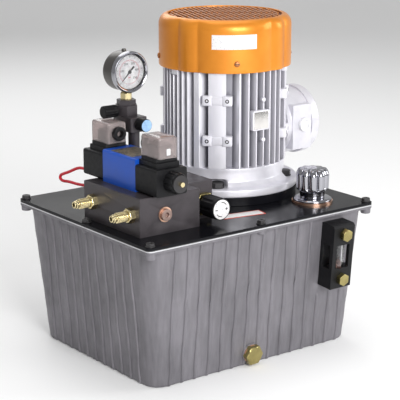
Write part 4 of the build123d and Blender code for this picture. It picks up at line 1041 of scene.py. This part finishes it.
def hand_knobs():
    """Switch cap with a pale blue face, fluted isolator knob, and the big relief knob with eight
    flats and a round label with a plus, a minus and two arcs."""
    low, high = span_of("switch_knob")
    x, z = (low[0] + high[0]) / 2, (low[2] + high[2]) / 2
    profile = [(3.9, -28), (3.9, -16), (8.2, -16), (8.6, -2), (7.9, 0), (7.6, -0.6), (0.5, -0.6)]
    barrel = aimed(lathe(profile, 0.5, 56), "-y", (x, low[1], z))
    make("switch_barrel", barrel, LOOK["black_plastic"], "switch_knob", "switch_knob")
    lens = lathe([(0.5, -0.7), (7.7, -0.7), (7.7, -0.1), (0.5, 0.3)], 0.4, 48)
    make("switch_face", aimed(lens, "-y", (x, low[1], z)), KNOB_LENS, "switch_knob")
    low, high = span_of("isolator_knob")
    y, z = (low[1] + high[1]) / 2, (low[2] + high[2]) / 2

    def fluted(angle, r, zz):
        """Radius with ten flutes along the side."""
        return np.where((r > 7) & (zz > 3), r - 0.9 * np.clip(np.cos(10 * angle) * 2 - 0.6, 0, 1), r)

    knob = [(3, -12), (3, -0.4), (7.2, 0), (8.2, 1.5), (8.2, 20), (7, 21.0), (0.5, 21.0)]
    solid = turned_profile(dense(eased(knob, 1.0, 5), 2.5), 120, fluted)
    make("isolator_grip", aimed(solid, "-x", (low[0] + 21.0, y, z)), LOOK["black_plastic"], "isolator_knob",
         "isolator_knob")
    low, high = span_of("relief_knob")
    x, z = (low[0] + high[0]) / 2, (low[2] + high[2]) / 2

    def flats(angle, r, zz):
        """Radius with eight flats that run out near the front."""
        cut = np.clip(np.cos(8 * angle) * 1.6 - 0.4, 0, 1) * np.clip((27 - zz) / 4, 0, 1)
        return np.where(r > 12, r - 1.1 * cut, r)

    knob = [(5.1, 0), (13.2, 0), (14.3, 2), (14.5, 29.6), (13.6, 31), (12.9, 30.6), (0.5, 30.6)]
    solid = turned_profile(dense(eased(knob, 0.9, 5), 2.5), 144, flats)
    grip = aimed(solid, "-y", (x, high[1], z))
    make("relief_grip", grip, LOOK["black_plastic"], "relief_knob", "relief_knob")
    disc = lathe([(0.5, 0), (12.7, 0), (12.7, 0.35), (0.5, 0.35)], 0.1, 56)
    make("relief_label", aimed(disc, "-y", (x, low[1] + 0.5, z)), LABEL, "relief_knob")
    marks = [soft_box((6, -0.5, 0.3), (9.5, 0.5, 0.5), 0.1, 0.03),
             soft_box((-9.5, -0.5, 0.3), (-6, 0.5, 0.5), 0.1, 0.03),
             soft_box((7.2, -1.7, 0.3), (8.3, 1.7, 0.49), 0.1, 0.03)]
    for k in range(24):
        bar = soft_box((8.6, -0.9, 0.3), (9.6, 0.9, 0.48), 0.1, 0.03)
        marks.append(turned(bar, 42 + 4 * k if k < 12 else 174 + 4 * k))
    make("relief_marks", aimed(joined(*marks), "-y", (x, low[1] + 0.5, z)), MARK_DARK, "relief_knob")


hand_knobs()
softened("relief_cartridge", width=0.7)


# ---- manifold and valve -------------------------------------------------------------------
softened("manifold_block", width=0.9)
softened("block_plug", width=0.4).data.materials[0] = PLUG_TONE.material
softened("valve_body", width=0.9)
softened("solenoid_coils", width=0.7)
softened("plug_glands", width=0.6)
BODY_LOW, BODY_HIGH = span_of("valve_body")


def valve_label():
    """Thin blank plate let into the top of the valve body."""
    mid = (BODY_LOW + BODY_HIGH) / 2
    low, high = (mid[0] - 19, mid[1] - 24, BODY_HIGH[2] - 0.3), (mid[0] + 19, mid[1] + 24, BODY_HIGH[2] + 0.3)
    plate = soft_box(low, high, 1.5, 0.15)
    make("valve_label", plate, VALVE_LABEL)


def coil_nuts():
    """Round nut on each coil: twelve flutes along its side and a dished face round the tube."""
    low, high = span_of("coil_nuts")
    x, z = (low[0] + high[0]) / 2, (low[2] + high[2]) / 2

    def fluted(angle, r, zz):
        """Radius with twelve flutes along the side."""
        return np.where(r > 12.3, r - 1.0 * np.clip(np.cos(12 * angle) * 2.2 - 0.5, 0, 1), r)

    profile = [(11.1, 0), (13.5, 0), (13.5, 12.6), (12.4, 15.4), (11.1, 15.4), (11.1, 0)]
    nut = turned_profile(dense(eased(profile, 0.9, 5), 2.0), 144, fluted)
    pair = joined(aimed(nut, "-y", (x, low[1] + 15.5, z)), aimed(nut, "y", (x, high[1] - 15.5, z)))
    make("fluted_coil_nuts", pair, LOOK["black_plastic"], instead="coil_nuts")


def plug_shells():
    """Clear connector hoods: rounded boxes, open below, with walls 2.4 mm thick."""
    low, high = span_of("plug_housings")
    x = (low[0] + high[0]) / 2
    for name, mid in (("front", low[1] + 20), ("rear", high[1] - 20)):
        size = (14, 20)
        rows = [(0, 0), (0.0, 0.6), (0, 22.5), (0.5, 24.6), (1.6, 26.0), (3.4, 26.5), (13.4, 26.5)]
        inner = [(13.4, 24.1), (3.6, 24.1), (2.5, 23), (2.4, 0)]
        inset = np.array([r[0] for r in rows + inner])
        z = np.array([r[1] for r in rows + inner]) + low[2]
        flat = outline(np.maximum(size[0] - inset, 0.5), np.maximum(size[1] - inset, 6.6),
                       np.maximum(3.2 - inset, 0.4), 6)
        rings = np.concatenate([flat, np.broadcast_to(z[:, None, None], flat.shape[:2] + (1,))], -1)
        shell = tube_of(np.concatenate([rings, rings[:1]]), caps=False)
        make(name + "_plug_hood", moved(shell, (x, mid, 0)), LOOK["clear_plastic"],
             instead="plug_housings" if name == "front" else (), crease=40)
        tab = soft_box((x - 3, mid - 20.3, low[2] + 4), (x + 2.5, mid - 19.9, low[2] + 12), 0.6, 0.1, "-y")
        if name == "front":
            make("plug_mark", tab, LOOK["pale_plastic"])


def hose_fittings():
    """Brass male fittings: hexagon, threaded barrel whose ridge climbs as a helix, stepped nose
    with a collar, and a drilled bore."""
    low, high = span_of("port_fittings")
    face = span_of("manifold_block")[0][0]

    def threaded(angle, r, z):
        """Radius with a thread of 1.4 mm pitch cut into the barrel."""
        ridge = 0.5 + 0.5 * np.cos(angle - 2 * np.pi * z / 1.4)
        return np.where((z > 10.2) & (z < 22.5) & (r > 6), r - 0.55 * ridge, r)

    barrel = [(3, -11.8), (5.9, -11.8), (5.9, -0.2), (6.58, 0), (6.58, 23.2), (5.6, 24), (4.4, 24.4),
              (4.4, 25.4), (5.5, 25.8), (5.5, 27.6), (4.5, 28.4), (4.4, 30.6), (3.8, 31), (2.7, 31),
              (2.6, 12)]
    barrel = turned_profile(dense(eased(barrel, 0.3, 3), 0.24), 40, threaded)
    one = joined(barrel, hex_head(17, 8.4, 10, socket=6.0))
    pair = [aimed(one, "-x", (face, y, (low[2] + high[2]) / 2)) for y in (-91, -7)]
    make("brass_fittings", joined(*pair), LOOK["brass"], instead="port_fittings", crease=40)


valve_label()
coil_nuts()
plug_shells()
hose_fittings()


# ---- sight gauge --------------------------------------------------------------------------
SIGHT_AT = (118.0, 133.5)
softened("sight_frame", width=0.7)
softened("sight_bolts", width=0.5)


def sight_glass():
    """Thick clear tube with oil standing in its lower part and a pale strip behind it."""
    tube = lathe([(6.5, -21.8), (8.4, -21.8), (8.4, 21.8), (6.5, 21.8), (6.5, -21.8)], 0.3, 56)
    tube = on_wall(moved(tube, (0, -14.5, 0)), *SIGHT_AT)
    make("sight_tube", tube, LOOK["clear_glass"], instead="sight_tube")
    oil = lathe([(0.5, -21.6), (6.3, -21.6), (6.3, -9), (0.5, -9.4)], 0.4, 40)
    make("oil_column", on_wall(moved(oil, (0, -14.5, 0)), *SIGHT_AT), OIL)
    strip = soft_box((-2.6, -6.4, -15.6), (2.6, -5.2, 15.6), 0.5, 0.2, "z")
    make("level_strip", on_wall(strip, *SIGHT_AT), LOOK["pale_plastic"])


sight_glass()


# ---- floor and light ----------------------------------------------------------------------
def floor():
    """Flat pale floor that curves up into a far backdrop."""
    across = np.linspace(-4000, 4000, 9)
    run = np.concatenate([np.linspace(-4000, 3000, 8), 3000 + 1500 * np.sin(np.linspace(0.2, np.pi / 2, 8))])
    rise = np.concatenate([np.zeros(8), 1500 * (1 - np.cos(np.linspace(0.2, np.pi / 2, 8)))])
    run, rise = np.append(run, 4500), np.append(rise, 4000)
    points = np.stack(np.broadcast_arrays(across[:, None], run[None, :], rise[None, :]), -1)
    cut = math.radians(-37.3)
    turn = np.array([[math.cos(cut), math.sin(cut), 0], [-math.sin(cut), math.cos(cut), 0], [0, 0, 1]])
    solid = tube_of(points[::-1] @ turn, caps=False, wrap=False)
    mesh = bpy.data.meshes.new("studio_floor")
    mesh.from_pydata((solid[0] * MM).tolist(), [], solid[1][0].tolist())
    mesh.polygons.foreach_set("use_smooth", np.ones(len(mesh.polygons), bool))
    ground = bpy.data.objects.new("studio_floor", mesh)
    bpy.context.scene.collection.objects.link(ground)
    mesh.materials.append(Finish("studio_floor", (0.94, 0.94, 0.94), 0.9).material)


def lamp(name, at, size, watts, warmth=(1, 1, 1)):
    """Soft square lamp aimed at the middle of the unit."""
    light = bpy.data.lights.new(name, "AREA")
    light.shape, light.size, light.energy, light.color = "SQUARE", size, watts, warmth
    obj = bpy.data.objects.new(name, light)
    obj.location = at
    obj.rotation_euler = (Vector((0, 0, 0.22)) - Vector(at)).to_track_quat("-Z", "Y").to_euler()
    bpy.context.scene.collection.objects.link(obj)


floor()
lamp("key_front", (-0.5, -2.1, 1.0), 1.0, 46)
lamp("side_right", (2.0, -1.1, 0.9), 1.0, 16)
lamp("top_soft", (0.1, 0.3, 2.2), 1.6, 14)
lamp("back_rim", (0.6, 1.9, 1.5), 1.2, 10)
world = bpy.data.worlds.new("studio")
world.use_nodes = True
world.node_tree.nodes["Background"].inputs["Color"].default_value = (1, 1, 1, 1)
world.node_tree.nodes["Background"].inputs["Strength"].default_value = 0.42
bpy.context.scene.world = world
bpy.context.scene.view_settings.view_transform = "Standard"
